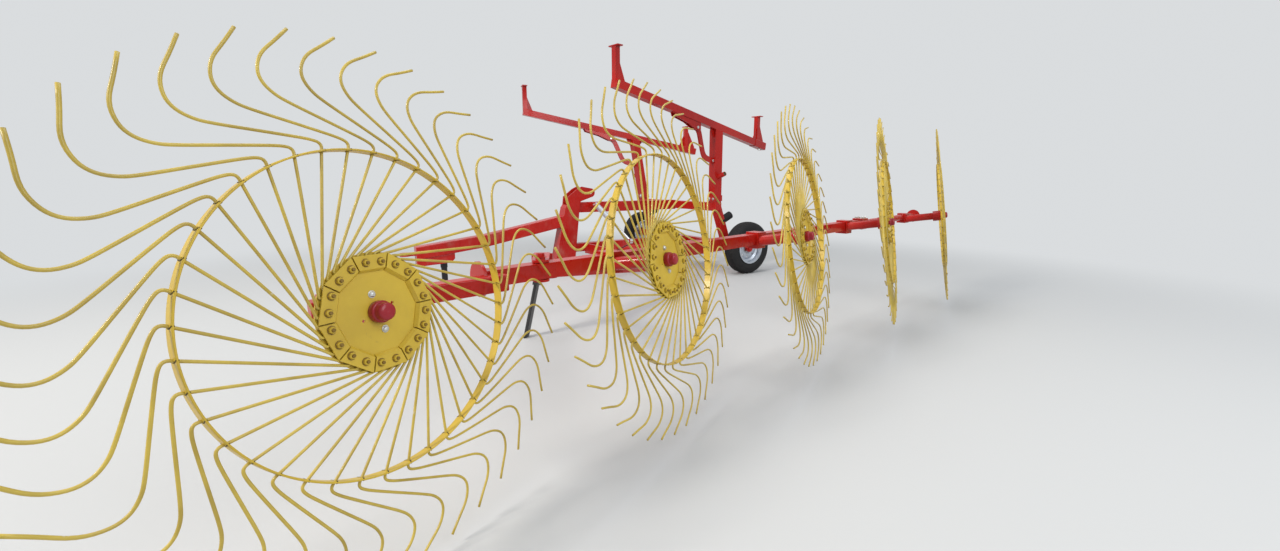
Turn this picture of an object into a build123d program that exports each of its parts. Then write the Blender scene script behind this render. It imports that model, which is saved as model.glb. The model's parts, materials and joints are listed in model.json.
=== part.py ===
from build123d import *
from math import atan2, cos, degrees, hypot, radians, sin, tan
import os

os.makedirs("parts", exist_ok=True)

# A trailed hay tedder with a raking wing of finger wheels, in millimetres.
# +X is the machine's left side, +Y runs back from the towing eye, +Z is up.
# Everything is laid out from the ground at z = 0 and moved down by EYE_Z at the end.

# fits
SEAT = 0.3            # gap between curved faces that bear on each other
RUN = 0.05            # radial running clearance of a pin in its bore
SIDE = 0.5            # axial play beside a turning piece

# towing eye and drawbar
EYE_Z = 370.0
EYE_BORE_R = 25.0
EYE_R = 55.0
EYE_THICK = 30.0
SHANK_W = 60.0
SHANK_LAP = 60.0
DRAWBAR_SIZE = 130.0
# the drawbar's centre line
DRAWBAR_LINE = (
    # y, z
    (95.0, 378.0),
    (800.0, 462.0),
    (1780.0, 648.0),
)

# deep plate box under the drawbar's front end
HITCH_W = 110.0
HITCH_OUTLINE = (
    # y, z
    (95.0, 242.0),
    (430.0, 258.0),
    (470.0, 300.0),
    (470.0, 420.0),
    (95.0, 380.0),
)

# tower at the drawbar's rear end, seen from the side
TOWER_W = 150.0
TOWER_OUTLINE = (
    # y, z
    (1604.0, 180.0),
    (1850.0, 180.0),
    (1922.0, 790.0),
    (1926.0, 824.0),
    (1765.0, 824.0),
    (1740.0, 790.0),
)
EAR_THICK = 14.0
EAR_OUTLINE = (
    # y, z
    (1765.0, 824.0),
    (1776.0, 917.0),
    (1890.0, 1004.0),
    (1953.0, 1034.0),
    (2074.0, 1013.0),
    (2096.0, 914.0),
    (1938.0, 862.0),
    (1926.0, 824.0),
)
EAR_R = 52.0
EAR_Y = 2074.0
EAR_Z = 961.0
EAR_HOLE_R = 16.0

# main beams, cross beam, axle beam and legs
MAIN_SIZE = 120.0
MAIN_Z = 790.0
LOWER_SIZE = 100.0
LOWER_Z = 310.0
CROSS_SIZE = 100.0
CROSS_Y = 3400.0
CROSS_HALF = 860.0
AXLE_SIZE = 80.0
AXLE_Y = 3610.0
AXLE_GAP = 95.0
LEG_SIZE = 90.0
LEG_INSET = 60.0
LEG_X = CROSS_HALF - LEG_INSET
LEG_TOP_BACK = 15.0
LEG_FOOT_AHEAD = 10.0

# ground wheels
TYRE_R = 310.0
TYRE_W = 165.0
RIM_R = 172.0
RIM_W = 144.0
RIM_WALL = 5.0
TRACK_HALF = 1150.0
SPINDLE_R = 22.0
WHEEL_HUB_R = 48.0
WHEEL_HUB_LEN = 110.0
VENTS = 8
VENT_R = 11.0
VENT_PCD_R = 112.0

# masts and cradle bars
MAST_SIZE = 110.0
MAST_INSET = 70.0
MAST_FOOT_X = CROSS_HALF - MAST_INSET
MAST_HEAD_Y = 3300.0
CRADLE_SIZE = 80.0
CRADLE_FRONT = (1206.0, 1747.0, 2002.0)
CRADLE_REAR = (728.0, 4152.0, 1560.0)
POST_H = 330.0
POST_SIZE = 55.0
POST_PLATE = 130.0
POST_PLATE_T = 10.0
GUSSET_T = 12.0
GUSSET_REACH = 100.0
GUSSET_H = 210.0
LINK_W = 60.0
LINK_T = 16.0
LINK_REACH = 330.0
LINK_DROP = 260.0
COLLAR_UP = (20.0, 90.0)
COLLAR_SIDE = 8.0
HEAD_WEB_T = 12.0
HEAD_WEB_REACH = 60.0
HEAD_WEB_H = 80.0
HEAD_WEB_LIP = 15.0
PEG_UP = 290.0
PEG_R = 26.0
PEG_OUT = 110.0
PEG_SLOPE = 0.35

# round buffers on the legs
BUFFER_Z = 605.0
BUFFER_R = 48.0
BUFFER_LEN = 135.0
BUFFER_TILT = 25.0

# jack on the drawbar's right side
JACK_Y = 385.0
JACK_TUBE_R = 36.0
JACK_WALL = 4.0
JACK_TUBE_Z0 = 190.0
JACK_TUBE_Z1 = 465.0
JACK_LEG_R = 31.0
JACK_LEG_TOP = 275.0
JACK_PLATE = 12.0
JACK_PLATE_HALF = 45.0
FOOT_R = 80.0
FOOT_T = 8.0

# lifting boom: a torque tube beside the lower main beam and a cranked arm
TORQUE_X = 420.0
TORQUE_Z = 300.0
TORQUE_R = 45.0
TORQUE_Y0 = 2010.0
TORQUE_Y1 = 3480.0
TORQUE_PIN_R = 20.0
TORQUE_PIN_LEN = 120.0
BRACKET_T = 20.0
BRACKET_HALF = 60.0
BOOM_SIZE = 90.0
BOOM_KNEE_R = 51.0
# the arm's bends, from the torque tube out to the wing
BOOM_ROOT_Y = 3300.0
BOOM_INNER = (1560.0, 1950.0, 300.0)
BOOM_KNEE = (2197.0, 633.0, 480.0)
FORK_REACH = 130.0
FORK_HEAD = 70.0
FORK_T = 10.0
FORK_R = 34.0
FORK_GAP = 3.0

# lift cylinder
CYL_Y = 2100.0
CYL_TOP_X = 150.0
CYL_TOP_Z = 822.0
CRANK_R = 530.0
CRANK_RISE = 18.0
LUG_T = 12.0
CYL_EYE_W = 34.0
CYL_PIN_R = 12.5
CYL_EYE_R = 25.0
CYL_EYE_NECK = 18.0
CYL_END_GAP = 6.0
CYL_NECK_R = 16.0
BARREL_R = 32.0
BARREL_BORE_R = 25.0
BARREL_LEN = 420.0
ROD_R = 15.0
PISTON_LEN = 30.0
PISTON_BACK = 42.06912   # from the gland to the piston's far face, rod drawn out
GLAND = 30.0

# raking wing
RIM_RAD = 440.0
WHEELS = 5
WHEEL_PITCH = 1130.0
HUB_1 = (3960.0, -610.0)
# height of each wheel's hub
HUB_HEIGHTS = (752.0, 778.0, 792.0, 810.0, 808.0)
WING_ANGLE = 9.2
WHEEL_ANGLE = 27.8
WHEEL_LEAN = 8.6
BEAM_OFFSET = 300.0
BEAM_SIZE = 64.0
WING_Z = 741.0
WING_RISE = 0.0088
BEAM_START_S = 510.0
BEAM_END_S = 3730.0
NOSE_SIZE = 62.0
NOSE_LIFT = -10.0
NOSE_START_S = -35.0
NOSE_END_S = 590.0
NOSE_FLANGE_R = 67.0
TUBE_R = 26.0
TUBE_END_S = 4760.0
TUBE_LAP = 260.0
END_FLANGE_R = 56.0
END_FLANGE_T = 12.0
CLAMP_LEN = 90.0
CLAMP_BACK = 20.0
CLAMP_T = 10.0
SWING_S = 780.0
SWING_PIN_R = 20.0
STUB_R = 20.0
COLLAR_R = 30.0
ROOT_LEN = 84.0
ROOT_WALL = 10.0
ROOT_DROP = 22.0

# finger wheel
TINES = 40
TINE = 7.6
BAND_T = 5.0
BAND_W = 32.0
HUB_DISC_R = 166.0
DISC_T = 5.0
CLAMPS = 10
CLAMP_IN_R = 112.0
CLAMP_LIP = 14.0
CLAMP_GAP = 4.0
BOLT_CIRCLE_R = 139.0
BOLT_TURN = 9.0
BOLT_SHIFT = -2.05
BOLT_R = 5.0
DISC_HOLE_R = 4.5
DISC_HOLE_CIRCLE_R = 48.0
DISC_HOLE_TURN = 20.0
HUB_R = 42.0
HUB_BACK = 66.0
STUB_GAP = 4.0
CAP_OUTLINE = (
    # radius, height above the disc
    (31.0, 0.0),
    (31.0, 14.0),
    (27.0, 17.0),
    (26.0, 38.0),
    (21.0, 45.0),
    (10.0, 48.0),
)
# one tine in the wheel's plane, as shares of the rim's radius: out from the
# rim's crossing, and sideways round the wheel
TINE_PATH = (
    # out, round
    (0.2107, 0.2294),
    (0.2488, 0.2712),
    (1.0350, -0.0117),
    (1.0780, 0.0500),
    (1.1850, 0.4700),
    (1.2500, 0.5850),
    (1.3300, 0.6150),
    (1.4150, 0.5980),
    (1.6000, 0.4700),
)

# parking stand beside the boom's knee: a flat bar that leans forward to its foot
STAND_BAR_W = 62.0
STAND_BAR_T = 22.0
STAND_WALL = 6.0
STAND_OUT = 80.0
STAND_LEAN = 14.0
STAND_SLEEVE_LOW = 110.0
STAND_SLEEVE_LEN = 150.0
STAND_TOP = 545.0
STAND_WELD_W = 50.0
STAND_WELD_H = 90.0


def box_beam(start, end, width, height):
    """A straight beam of rectangular section between two points."""
    start, end = Vector(*start), Vector(*end)
    run = end - start
    side = Vector(-run.Y, run.X, 0)
    if side.length < 1e-6:
        side = Vector(1, 0, 0)
    plane = Plane(origin=start, x_dir=side.normalized(), z_dir=run.normalized())
    return extrude(plane * Rectangle(width, height), amount=run.length)


def round_bar(start, end, radius):
    """A straight round bar between two points."""
    start, end = Vector(*start), Vector(*end)
    run = end - start
    return extrude(Plane(origin=start, z_dir=run.normalized()) * Circle(radius), amount=run.length)


def block(x0, x1, y0, y1, z0, z1):
    """A box between its corner coordinates."""
    return Pos((x0 + x1) / 2, (y0 + y1) / 2, (z0 + z1) / 2) * Box(x1 - x0, y1 - y0, z1 - z0)


def mirrored(piece):
    """The same piece on the machine's other side."""
    return mirror(piece, about=Plane.YZ)


def solids_of(*pieces):
    """One compound of separate solids."""
    found = []
    for piece in pieces:
        found += list(piece.solids())
    return Compound(children=found)


def plate_y(outline, y0, y1):
    """A plate across Y from points given as (x, z)."""
    plane = Plane(origin=(0, y0, 0), x_dir=(1, 0, 0), z_dir=(0, -1, 0))
    return extrude(plane * make_face(Polyline(*outline, close=True)), amount=-(y1 - y0))


def plate_x(outline, x0, x1):
    """A plate across X from points given as (y, z)."""
    plane = Plane(origin=(x0, 0, 0), x_dir=(0, 1, 0), z_dir=(1, 0, 0))
    return extrude(plane * make_face(Polyline(*outline, close=True)), amount=x1 - x0)


nodes = {}

# drawbar, tower and main beams
half_bar = DRAWBAR_SIZE / 2
drawbar = plate_x(
    [(y, z - half_bar) for y, z in DRAWBAR_LINE] + [(y, z + half_bar) for y, z in reversed(DRAWBAR_LINE)],
    -half_bar, half_bar)
shank_end = DRAWBAR_LINE[0][0] + SHANK_LAP
eye = Pos(0, 0, EYE_Z) * Cylinder(EYE_R, EYE_THICK)
eye += block(-SHANK_W / 2, SHANK_W / 2, 0, shank_end, EYE_Z - EYE_THICK / 2, EYE_Z + EYE_THICK / 2)
eye -= Pos(0, 0, EYE_Z) * Cylinder(EYE_BORE_R, 2 * EYE_THICK)
eye -= drawbar
hitch_box = plate_x(HITCH_OUTLINE, -HITCH_W / 2, HITCH_W / 2)
hitch_box -= drawbar
hitch_box = max(hitch_box.solids(), key=lambda one: one.volume)
tower = plate_x(TOWER_OUTLINE, -TOWER_W / 2, TOWER_W / 2)
for side in (-1, 1):
    x0 = side * TOWER_W / 2 - (EAR_THICK if side > 0 else 0)
    ear = plate_x(EAR_OUTLINE, x0, x0 + EAR_THICK)
    ear += Pos(x0 + EAR_THICK / 2, EAR_Y, EAR_Z) * Rot(0, 90, 0) * Cylinder(EAR_R, EAR_THICK)
    ear -= Pos(x0 + EAR_THICK / 2, EAR_Y, EAR_Z) * Rot(0, 90, 0) * Cylinder(EAR_HOLE_R, 2 * EAR_THICK)
    tower += ear
drawbar -= tower
tower_rear_low, tower_rear_high = TOWER_OUTLINE[1][0], TOWER_OUTLINE[3][0]
main_beam = block(-MAIN_SIZE / 2, MAIN_SIZE / 2, tower_rear_low, CROSS_Y - CROSS_SIZE / 2, MAIN_Z - MAIN_SIZE / 2,
                  MAIN_Z + MAIN_SIZE / 2)
main_beam -= tower
main_beam = max(main_beam.solids(), key=lambda one: one.volume)
lower_beam = block(-LOWER_SIZE / 2, LOWER_SIZE / 2, tower_rear_low, AXLE_Y - AXLE_SIZE / 2, LOWER_Z - LOWER_SIZE / 2,
                   LOWER_Z + LOWER_SIZE / 2)
lower_beam -= tower
lower_beam = max(lower_beam.solids(), key=lambda one: one.volume)
cross_beam = block(-CROSS_HALF, CROSS_HALF, CROSS_Y - CROSS_SIZE / 2, CROSS_Y + CROSS_SIZE / 2,
                   MAIN_Z - CROSS_SIZE / 2, MAIN_Z + CROSS_SIZE / 2)

# axle beam, legs and ground wheels
axle_half = TRACK_HALF - WHEEL_HUB_LEN / 2 - AXLE_GAP
axle_beam = block(-axle_half, axle_half, AXLE_Y - AXLE_SIZE / 2, AXLE_Y + AXLE_SIZE / 2,
                  TYRE_R - AXLE_SIZE / 2, TYRE_R + AXLE_SIZE / 2)
spindle_out = TRACK_HALF + WHEEL_HUB_LEN / 2 - 12
spindles = round_bar((axle_half, AXLE_Y, TYRE_R), (spindle_out, AXLE_Y, TYRE_R), SPINDLE_R)
axle_beam += spindles
axle_beam += mirrored(spindles)
leg = box_beam((LEG_X, CROSS_Y + LEG_TOP_BACK, MAIN_Z), (LEG_X, AXLE_Y - LEG_FOOT_AHEAD, TYRE_R), LEG_SIZE, LEG_SIZE)
leg -= cross_beam
leg -= axle_beam
leg = max(leg.solids(), key=lambda one: one.volume)
wheel_legs = solids_of(leg, mirrored(leg))

half = TYRE_W / 2
tyre_profile = Polyline(
    (RIM_R + SEAT, half * 0.74), (RIM_R + 66, half), (TYRE_R - 7, half * 0.73), (TYRE_R, 0),
    (TYRE_R - 7, -half * 0.73), (RIM_R + 66, -half), (RIM_R + SEAT, -half * 0.74), close=True)
tyre = revolve(Plane.XZ * make_face(tyre_profile), axis=Axis.Z)
rim_half = RIM_W / 2
rim_profile = Polyline(
    (RIM_R, rim_half), (RIM_R + 14, rim_half), (RIM_R + 14, rim_half + 4), (RIM_R - RIM_WALL, rim_half + 4),
    (RIM_R - RIM_WALL, 22), (RIM_R - 30, 8), (VENT_PCD_R, 18), (70, 20), (60, 12), (WHEEL_HUB_R + SEAT, 12),
    (WHEEL_HUB_R + SEAT, 6), (64, 6), (72, 14), (VENT_PCD_R, 12), (RIM_R - 28, 1), (RIM_R - RIM_WALL, 10),
    (RIM_R - RIM_WALL, -rim_half - 4), (RIM_R + 14, -rim_half - 4), (RIM_R + 14, -rim_half), (RIM_R, -rim_half),
    close=True)
rim = revolve(Plane.XZ * make_face(rim_profile), axis=Axis.Z)
for k in range(VENTS):
    rim -= Rot(0, 0, 360 * k / VENTS) * Pos(VENT_PCD_R, 0, 15) * Cylinder(VENT_R, 40)
hub_half = WHEEL_HUB_LEN / 2
wheel_hub = Cylinder(WHEEL_HUB_R, WHEEL_HUB_LEN)
wheel_hub += Pos(0, 0, 6 - 5) * Cylinder(WHEEL_HUB_R + 14, 10)
wheel_hub += Pos(0, 0, hub_half + 8) * Cylinder(30, 16)
wheel_hub -= Pos(0, 0, -12) * Cylinder(SPINDLE_R + RUN, WHEEL_HUB_LEN)
place_left = Pos(TRACK_HALF, AXLE_Y, TYRE_R) * Rot(0, 90, 0)
nodes["tyre_left"] = place_left * tyre
nodes["tyre_right"] = mirrored(place_left * tyre)
nodes["wheel_rim_left"] = place_left * rim
nodes["wheel_rim_right"] = mirrored(place_left * rim)
nodes["wheel_hub_left"] = place_left * wheel_hub
nodes["wheel_hub_right"] = mirrored(place_left * wheel_hub)

# masts, cradle bars and links
front, rear = Vector(*CRADLE_FRONT), Vector(*CRADLE_REAR)
cradle = box_beam(CRADLE_FRONT, CRADLE_REAR, CRADLE_SIZE, CRADLE_SIZE)
along = (rear - front).normalized()
post_plane_x = Vector(-along.Y, along.X, 0).normalized()
for spot, inward in ((front + along * (POST_SIZE / 2), 1), (rear - along * (POST_SIZE / 2), -1)):
    foot = Plane(origin=spot, x_dir=post_plane_x, z_dir=(0, 0, 1))
    post = extrude(foot * Rectangle(POST_SIZE, POST_SIZE), amount=POST_H)
    cap = extrude(foot.offset(POST_H) * Rectangle(POST_PLATE, POST_SIZE + POST_PLATE_T), amount=POST_PLATE_T)
    toward = along * inward
    level = Vector(toward.X, toward.Y, 0).normalized()
    web = Plane(origin=spot - post_plane_x * (GUSSET_T / 2), x_dir=level, z_dir=level.cross(Vector(0, 0, 1)))
    fall = toward.Z / hypot(toward.X, toward.Y)
    gusset = extrude(web * make_face(Polyline(
        (0, 0), (GUSSET_REACH, fall * GUSSET_REACH), (GUSSET_REACH, fall * GUSSET_REACH + CRADLE_SIZE / 2 + 6),
        (POST_SIZE / 2, GUSSET_H), (0, GUSSET_H), close=True)), amount=GUSSET_T * inward, both=False)
    cradle += post + cap
    cradle += gusset
share = (MAST_HEAD_Y - front.Y) / (rear.Y - front.Y)
mast_top = front + (rear - front) * share
mast_foot = Vector(MAST_FOOT_X, CROSS_Y, MAIN_Z + CROSS_SIZE / 2)
mast_dir = (mast_top - mast_foot).normalized()
mast = extrude(Plane(origin=mast_foot) * Rectangle(MAST_SIZE, MAST_SIZE), amount=(mast_top - mast_foot).length,
               dir=mast_dir)
along_level = Vector(along.X, along.Y, 0).normalized()
web_plane = Plane(origin=mast_top - post_plane_x * (HEAD_WEB_T / 2), x_dir=along_level,
                  z_dir=along_level.cross(Vector(0, 0, 1)))
web_fall = along.Z / hypot(along.X, along.Y)
web_half = MAST_SIZE / 2 + HEAD_WEB_REACH
web_low = -CRADLE_SIZE / 2 - HEAD_WEB_H
web_drop, web_lip = web_fall * web_half, CRADLE_SIZE / 2 + HEAD_WEB_LIP
mast += extrude(web_plane * make_face(Polyline(
    (-web_half, -web_drop), (web_half, web_drop), (web_half, web_drop - web_lip), (MAST_SIZE / 2, web_low),
    (-MAST_SIZE / 2, web_low), (-web_half, -web_drop - web_lip), close=True)), amount=-HEAD_WEB_T)
mast -= box_beam(CRADLE_FRONT, CRADLE_REAR, MAST_SIZE * 2, CRADLE_SIZE)
mast = max(mast.solids(), key=lambda one: one.volume)
collar_foot = mast_foot + mast_dir * COLLAR_UP[0]
collar_size = MAST_SIZE + 2 * COLLAR_SIDE
mast += extrude(Plane(origin=collar_foot) * Rectangle(collar_size, collar_size), amount=COLLAR_UP[1] - COLLAR_UP[0],
                dir=mast_dir)
peg = mast_foot + mast_dir * PEG_UP
peg_reach = MAST_SIZE / 2 + PEG_OUT
mast += round_bar(tuple(peg), (peg.X + peg_reach, peg.Y, peg.Z + peg_reach * PEG_SLOPE), PEG_R)
link_high = mast_top - along * LINK_REACH
link_low = mast_top + (mast_foot - mast_top) * (LINK_DROP / (mast_top.Z - mast_foot.Z))
link = box_beam(tuple(link_low), tuple(link_high), LINK_T, LINK_W)
link -= mast
link -= cradle
link = max(link.solids(), key=lambda one: one.volume)
nodes["masts"] = solids_of(mast, mirrored(mast))
nodes["cradle_bars"] = solids_of(cradle, mirrored(cradle))
nodes["mast_braces"] = solids_of(link, mirrored(link))

# round buffers on the legs
leg_share = (MAIN_Z - BUFFER_Z) / (MAIN_Z - TYRE_R)
leg_top_y, leg_foot_y = CROSS_Y + LEG_TOP_BACK, AXLE_Y - LEG_FOOT_AHEAD
buffer_foot = Vector(LEG_X, leg_top_y + (leg_foot_y - leg_top_y) * leg_share, BUFFER_Z)
buffer_dir = Vector(0, cos(radians(BUFFER_TILT)), sin(radians(BUFFER_TILT)))
leg_buffer = round_bar(tuple(buffer_foot), tuple(buffer_foot + buffer_dir * (LEG_SIZE / 2 + BUFFER_LEN)), BUFFER_R)
leg_buffer -= leg
leg_buffer = max(leg_buffer.solids(), key=lambda one: one.volume)
nodes["leg_buffers"] = solids_of(leg_buffer, mirrored(leg_buffer))

# jack
(line_y0, line_z0), (line_y1, line_z1) = DRAWBAR_LINE[0], DRAWBAR_LINE[1]
jack_bar_z = line_z0 + (line_z1 - line_z0) * (JACK_Y - line_y0) / (line_y1 - line_y0)
jack_x = -(DRAWBAR_SIZE / 2 + JACK_PLATE + JACK_TUBE_R)
jack_tube = round_bar((jack_x, JACK_Y, JACK_TUBE_Z0), (jack_x, JACK_Y, JACK_TUBE_Z1), JACK_TUBE_R)
jack_tube += block(jack_x, -DRAWBAR_SIZE / 2, JACK_Y - JACK_PLATE_HALF, JACK_Y + JACK_PLATE_HALF,
                   jack_bar_z - JACK_PLATE_HALF, jack_bar_z + JACK_PLATE_HALF)
jack_tube -= round_bar((jack_x, JACK_Y, 0), (jack_x, JACK_Y, JACK_TUBE_Z1 - JACK_WALL), JACK_LEG_R + SEAT)
jack_leg = round_bar((jack_x, JACK_Y, FOOT_T), (jack_x, JACK_Y, JACK_LEG_TOP), JACK_LEG_R)
jack_leg += round_bar((jack_x, JACK_Y, 0), (jack_x, JACK_Y, FOOT_T), FOOT_R)

# boom
wing_dir = Vector(-sin(radians(WING_ANGLE)), cos(radians(WING_ANGLE)), 0)
wing_in = Vector(-cos(radians(WING_ANGLE)), -sin(radians(WING_ANGLE)), 0)
wheel_dir = Vector(-sin(radians(WHEEL_ANGLE)), cos(radians(WHEEL_ANGLE)), 0)
wheel_out = Vector(cos(radians(WHEEL_ANGLE)), sin(radians(WHEEL_ANGLE)), 0)
lean = radians(WHEEL_LEAN)
wheel_axis = wheel_out * cos(lean) + Vector(0, 0, 1) * sin(lean)
hub_1 = Vector(HUB_1[0], HUB_1[1], 0)
beam_1 = Vector(hub_1.X, hub_1.Y, WING_Z) - wheel_out * BEAM_OFFSET
swing_z = WING_Z + WING_RISE * SWING_S
swing = beam_1 + wing_dir * SWING_S
swing = Vector(swing.X, swing.Y, swing_z)

torque_tube = round_bar((TORQUE_X, TORQUE_Y0, TORQUE_Z), (TORQUE_X, TORQUE_Y1, TORQUE_Z), TORQUE_R)
lug_x = TORQUE_X + CRANK_R * cos(radians(CRANK_RISE))
lug_z = TORQUE_Z + CRANK_R * sin(radians(CRANK_RISE))
lug_in = CYL_EYE_W / 2 + SIDE
lug_across = Vector(-sin(radians(CRANK_RISE)), 0, cos(radians(CRANK_RISE)))
for side in (-1, 1):
    y0 = CYL_Y + side * lug_in - (LUG_T if side < 0 else 0)
    lug = plate_y(((TORQUE_X - TORQUE_R * lug_across.X, TORQUE_Z - TORQUE_R * lug_across.Z),
                   (lug_x - CYL_EYE_R * lug_across.X, lug_z - CYL_EYE_R * lug_across.Z),
                   (lug_x + CYL_EYE_R * lug_across.X, lug_z + CYL_EYE_R * lug_across.Z),
                   (TORQUE_X + TORQUE_R * lug_across.X, TORQUE_Z + TORQUE_R * lug_across.Z)), y0, y0 + LUG_T)
    lug += Pos(lug_x, y0 + LUG_T / 2, lug_z) * Rot(90, 0, 0) * Cylinder(CYL_EYE_R, LUG_T)
    torque_tube += lug
torque_tube += round_bar((lug_x, CYL_Y - lug_in - LUG_T, lug_z), (lug_x, CYL_Y + lug_in + LUG_T, lug_z), CYL_PIN_R)
torque_tube -= round_bar((TORQUE_X, TORQUE_Y0 - 1, TORQUE_Z), (TORQUE_X, TORQUE_Y1 + 1, TORQUE_Z), TORQUE_PIN_R + RUN)

root, inner, knee = Vector(TORQUE_X, BOOM_ROOT_Y, TORQUE_Z), Vector(*BOOM_INNER), Vector(*BOOM_KNEE)
arm_out = Vector(swing.X - knee.X, swing.Y - knee.Y, 0).normalized()
head = swing - arm_out * (FORK_REACH + FORK_HEAD / 2)
boom = box_beam(tuple(root), tuple(inner), BOOM_SIZE, BOOM_SIZE)
boom += box_beam(tuple(inner), tuple(knee), BOOM_SIZE, BOOM_SIZE)
boom += box_beam(tuple(knee), tuple(head), BOOM_SIZE, BOOM_SIZE)
for bend in (inner, knee):
    boom += Pos(bend.X, bend.Y, bend.Z) * Cylinder(BOOM_KNEE_R, BOOM_SIZE + FORK_T)
boom -= round_bar((TORQUE_X, 0, TORQUE_Z), (TORQUE_X, AXLE_Y, TORQUE_Z), TORQUE_R)
boom = max(boom.solids(), key=lambda one: one.volume)
fork_half = BEAM_SIZE / 2 + FORK_GAP + FORK_T
fork_plane = Plane(origin=(swing.X, swing.Y, swing_z - fork_half), x_dir=arm_out * -1, z_dir=(0, 0, 1))
fork = extrude(fork_plane * Pos(FORK_REACH + FORK_HEAD / 2, 0) * Rectangle(FORK_HEAD, 2 * FORK_R), amount=2 * fork_half)
for z0 in (0, 2 * fork_half - FORK_T):
    tongue = extrude(fork_plane.offset(z0) * Pos((FORK_REACH + 10) / 2, 0) * Rectangle(FORK_REACH + 10, 2 * FORK_R),
                     amount=FORK_T)
    tongue += extrude(fork_plane.offset(z0) * Circle(FORK_R), amount=FORK_T)
    fork += tongue
fork += round_bar((swing.X, swing.Y, swing_z - fork_half), (swing.X, swing.Y, swing_z + fork_half + FORK_T), SWING_PIN_R)
boom += fork

knee_out = (arm_out + (inner - knee).normalized()) * -1
knee_out = Vector(knee_out.X, knee_out.Y, 0).normalized()
stand_mid = knee + knee_out * STAND_OUT
stand_axis = Vector(0, sin(radians(STAND_LEAN)), cos(radians(STAND_LEAN)))
stand_side = Vector(0, 0, 1).cross(knee_out).normalized()
stand_thick = stand_axis.cross(stand_side).normalized()
stand_side = stand_thick.cross(stand_axis)
stand_plane = Plane(origin=stand_mid, x_dir=stand_side, z_dir=stand_axis)
sleeve_w, sleeve_t = STAND_BAR_W + 2 * (SEAT + STAND_WALL), STAND_BAR_T + 2 * (SEAT + STAND_WALL)
stand_sleeve = extrude(stand_plane.offset(-STAND_SLEEVE_LOW) * Rectangle(sleeve_w, sleeve_t), amount=STAND_SLEEVE_LEN)
weld_plane = Plane(origin=stand_mid - Vector(0, 0, STAND_WELD_H / 2), x_dir=knee_out * -1, z_dir=(0, 0, 1))
stand_sleeve += extrude(weld_plane * Pos(STAND_OUT / 2, 0) * Rectangle(STAND_OUT, STAND_WELD_W), amount=STAND_WELD_H)
stand_sleeve -= boom
stand_sleeve = max(stand_sleeve.solids(), key=lambda one: one.volume)
stand_sleeve -= extrude(stand_plane.offset(-BOOM_KNEE[2]) * Rectangle(STAND_BAR_W + 2 * SEAT, STAND_BAR_T + 2 * SEAT),
                        amount=2 * BOOM_KNEE[2])
stand_leg = extrude(stand_plane.offset(-2 * BOOM_KNEE[2]) * Rectangle(STAND_BAR_W, STAND_BAR_T),
                    amount=2 * BOOM_KNEE[2] + (STAND_TOP - BOOM_KNEE[2]))
stand_leg -= Pos(stand_mid.X, stand_mid.Y, -BOOM_KNEE[2]) * Box(4 * BOOM_KNEE[2], 4 * BOOM_KNEE[2], 2 * BOOM_KNEE[2])

# brackets that carry the torque tube on the frame
bracket_front_y = TORQUE_Y0 - SIDE
bracket_front = block(LOWER_SIZE / 2, TORQUE_X + BRACKET_HALF, bracket_front_y - BRACKET_T, bracket_front_y,
                      TORQUE_Z - BRACKET_HALF, TORQUE_Z + BRACKET_HALF)
bracket_front += round_bar((TORQUE_X, bracket_front_y - BRACKET_T, TORQUE_Z),
                           (TORQUE_X, TORQUE_Y0 + TORQUE_PIN_LEN, TORQUE_Z), TORQUE_PIN_R)
bracket_rear_y = TORQUE_Y1 + SIDE
bracket_rear = block(TORQUE_X - BRACKET_HALF, TORQUE_X + BRACKET_HALF, bracket_rear_y, bracket_rear_y + BRACKET_T,
                     TORQUE_Z - BRACKET_HALF, TORQUE_Z + BRACKET_HALF)
bracket_rear += block(TORQUE_X - BRACKET_HALF, TORQUE_X + BRACKET_HALF, bracket_rear_y, AXLE_Y - AXLE_SIZE / 2,
                      TYRE_R - AXLE_SIZE / 2, TYRE_R + AXLE_SIZE / 2)
bracket_rear += round_bar((TORQUE_X, TORQUE_Y1 - TORQUE_PIN_LEN, TORQUE_Z),
                          (TORQUE_X, bracket_rear_y + BRACKET_T, TORQUE_Z), TORQUE_PIN_R)

# lift cylinder
cyl_dx, cyl_dz = lug_x - CYL_TOP_X, lug_z - CYL_TOP_Z
cyl_len = hypot(cyl_dx, cyl_dz)
cyl_dir = Vector(cyl_dx / cyl_len, 0, cyl_dz / cyl_len)
cyl_top = Vector(CYL_TOP_X, CYL_Y, CYL_TOP_Z)
clevis = None
for side in (-1, 1):
    y0 = CYL_Y + side * lug_in - (LUG_T if side < 0 else 0)
    ear = block(MAIN_SIZE / 2, CYL_TOP_X, y0, y0 + LUG_T, CYL_TOP_Z - CYL_EYE_R, CYL_TOP_Z + CYL_EYE_R)
    ear += Pos(CYL_TOP_X, y0 + LUG_T / 2, CYL_TOP_Z) * Rot(90, 0, 0) * Cylinder(CYL_EYE_R, LUG_T)
    clevis = ear if clevis is None else clevis + ear
clevis += round_bar((CYL_TOP_X, CYL_Y - lug_in - LUG_T, CYL_TOP_Z), (CYL_TOP_X, CYL_Y + lug_in + LUG_T, CYL_TOP_Z),
                    CYL_PIN_R)
main_beam += clevis


def eye_at(point):
    """The boss of a cylinder's eye, lying across Y."""
    return Pos(point.X, point.Y, point.Z) * Rot(90, 0, 0) * Cylinder(CYL_EYE_R, CYL_EYE_W)


def pin_hole(point):
    return Pos(point.X, point.Y, point.Z) * Rot(90, 0, 0) * Cylinder(CYL_PIN_R + RUN, 3 * CYL_EYE_W)


def on_cylinder(reach):
    return cyl_top + cyl_dir * reach


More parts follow.
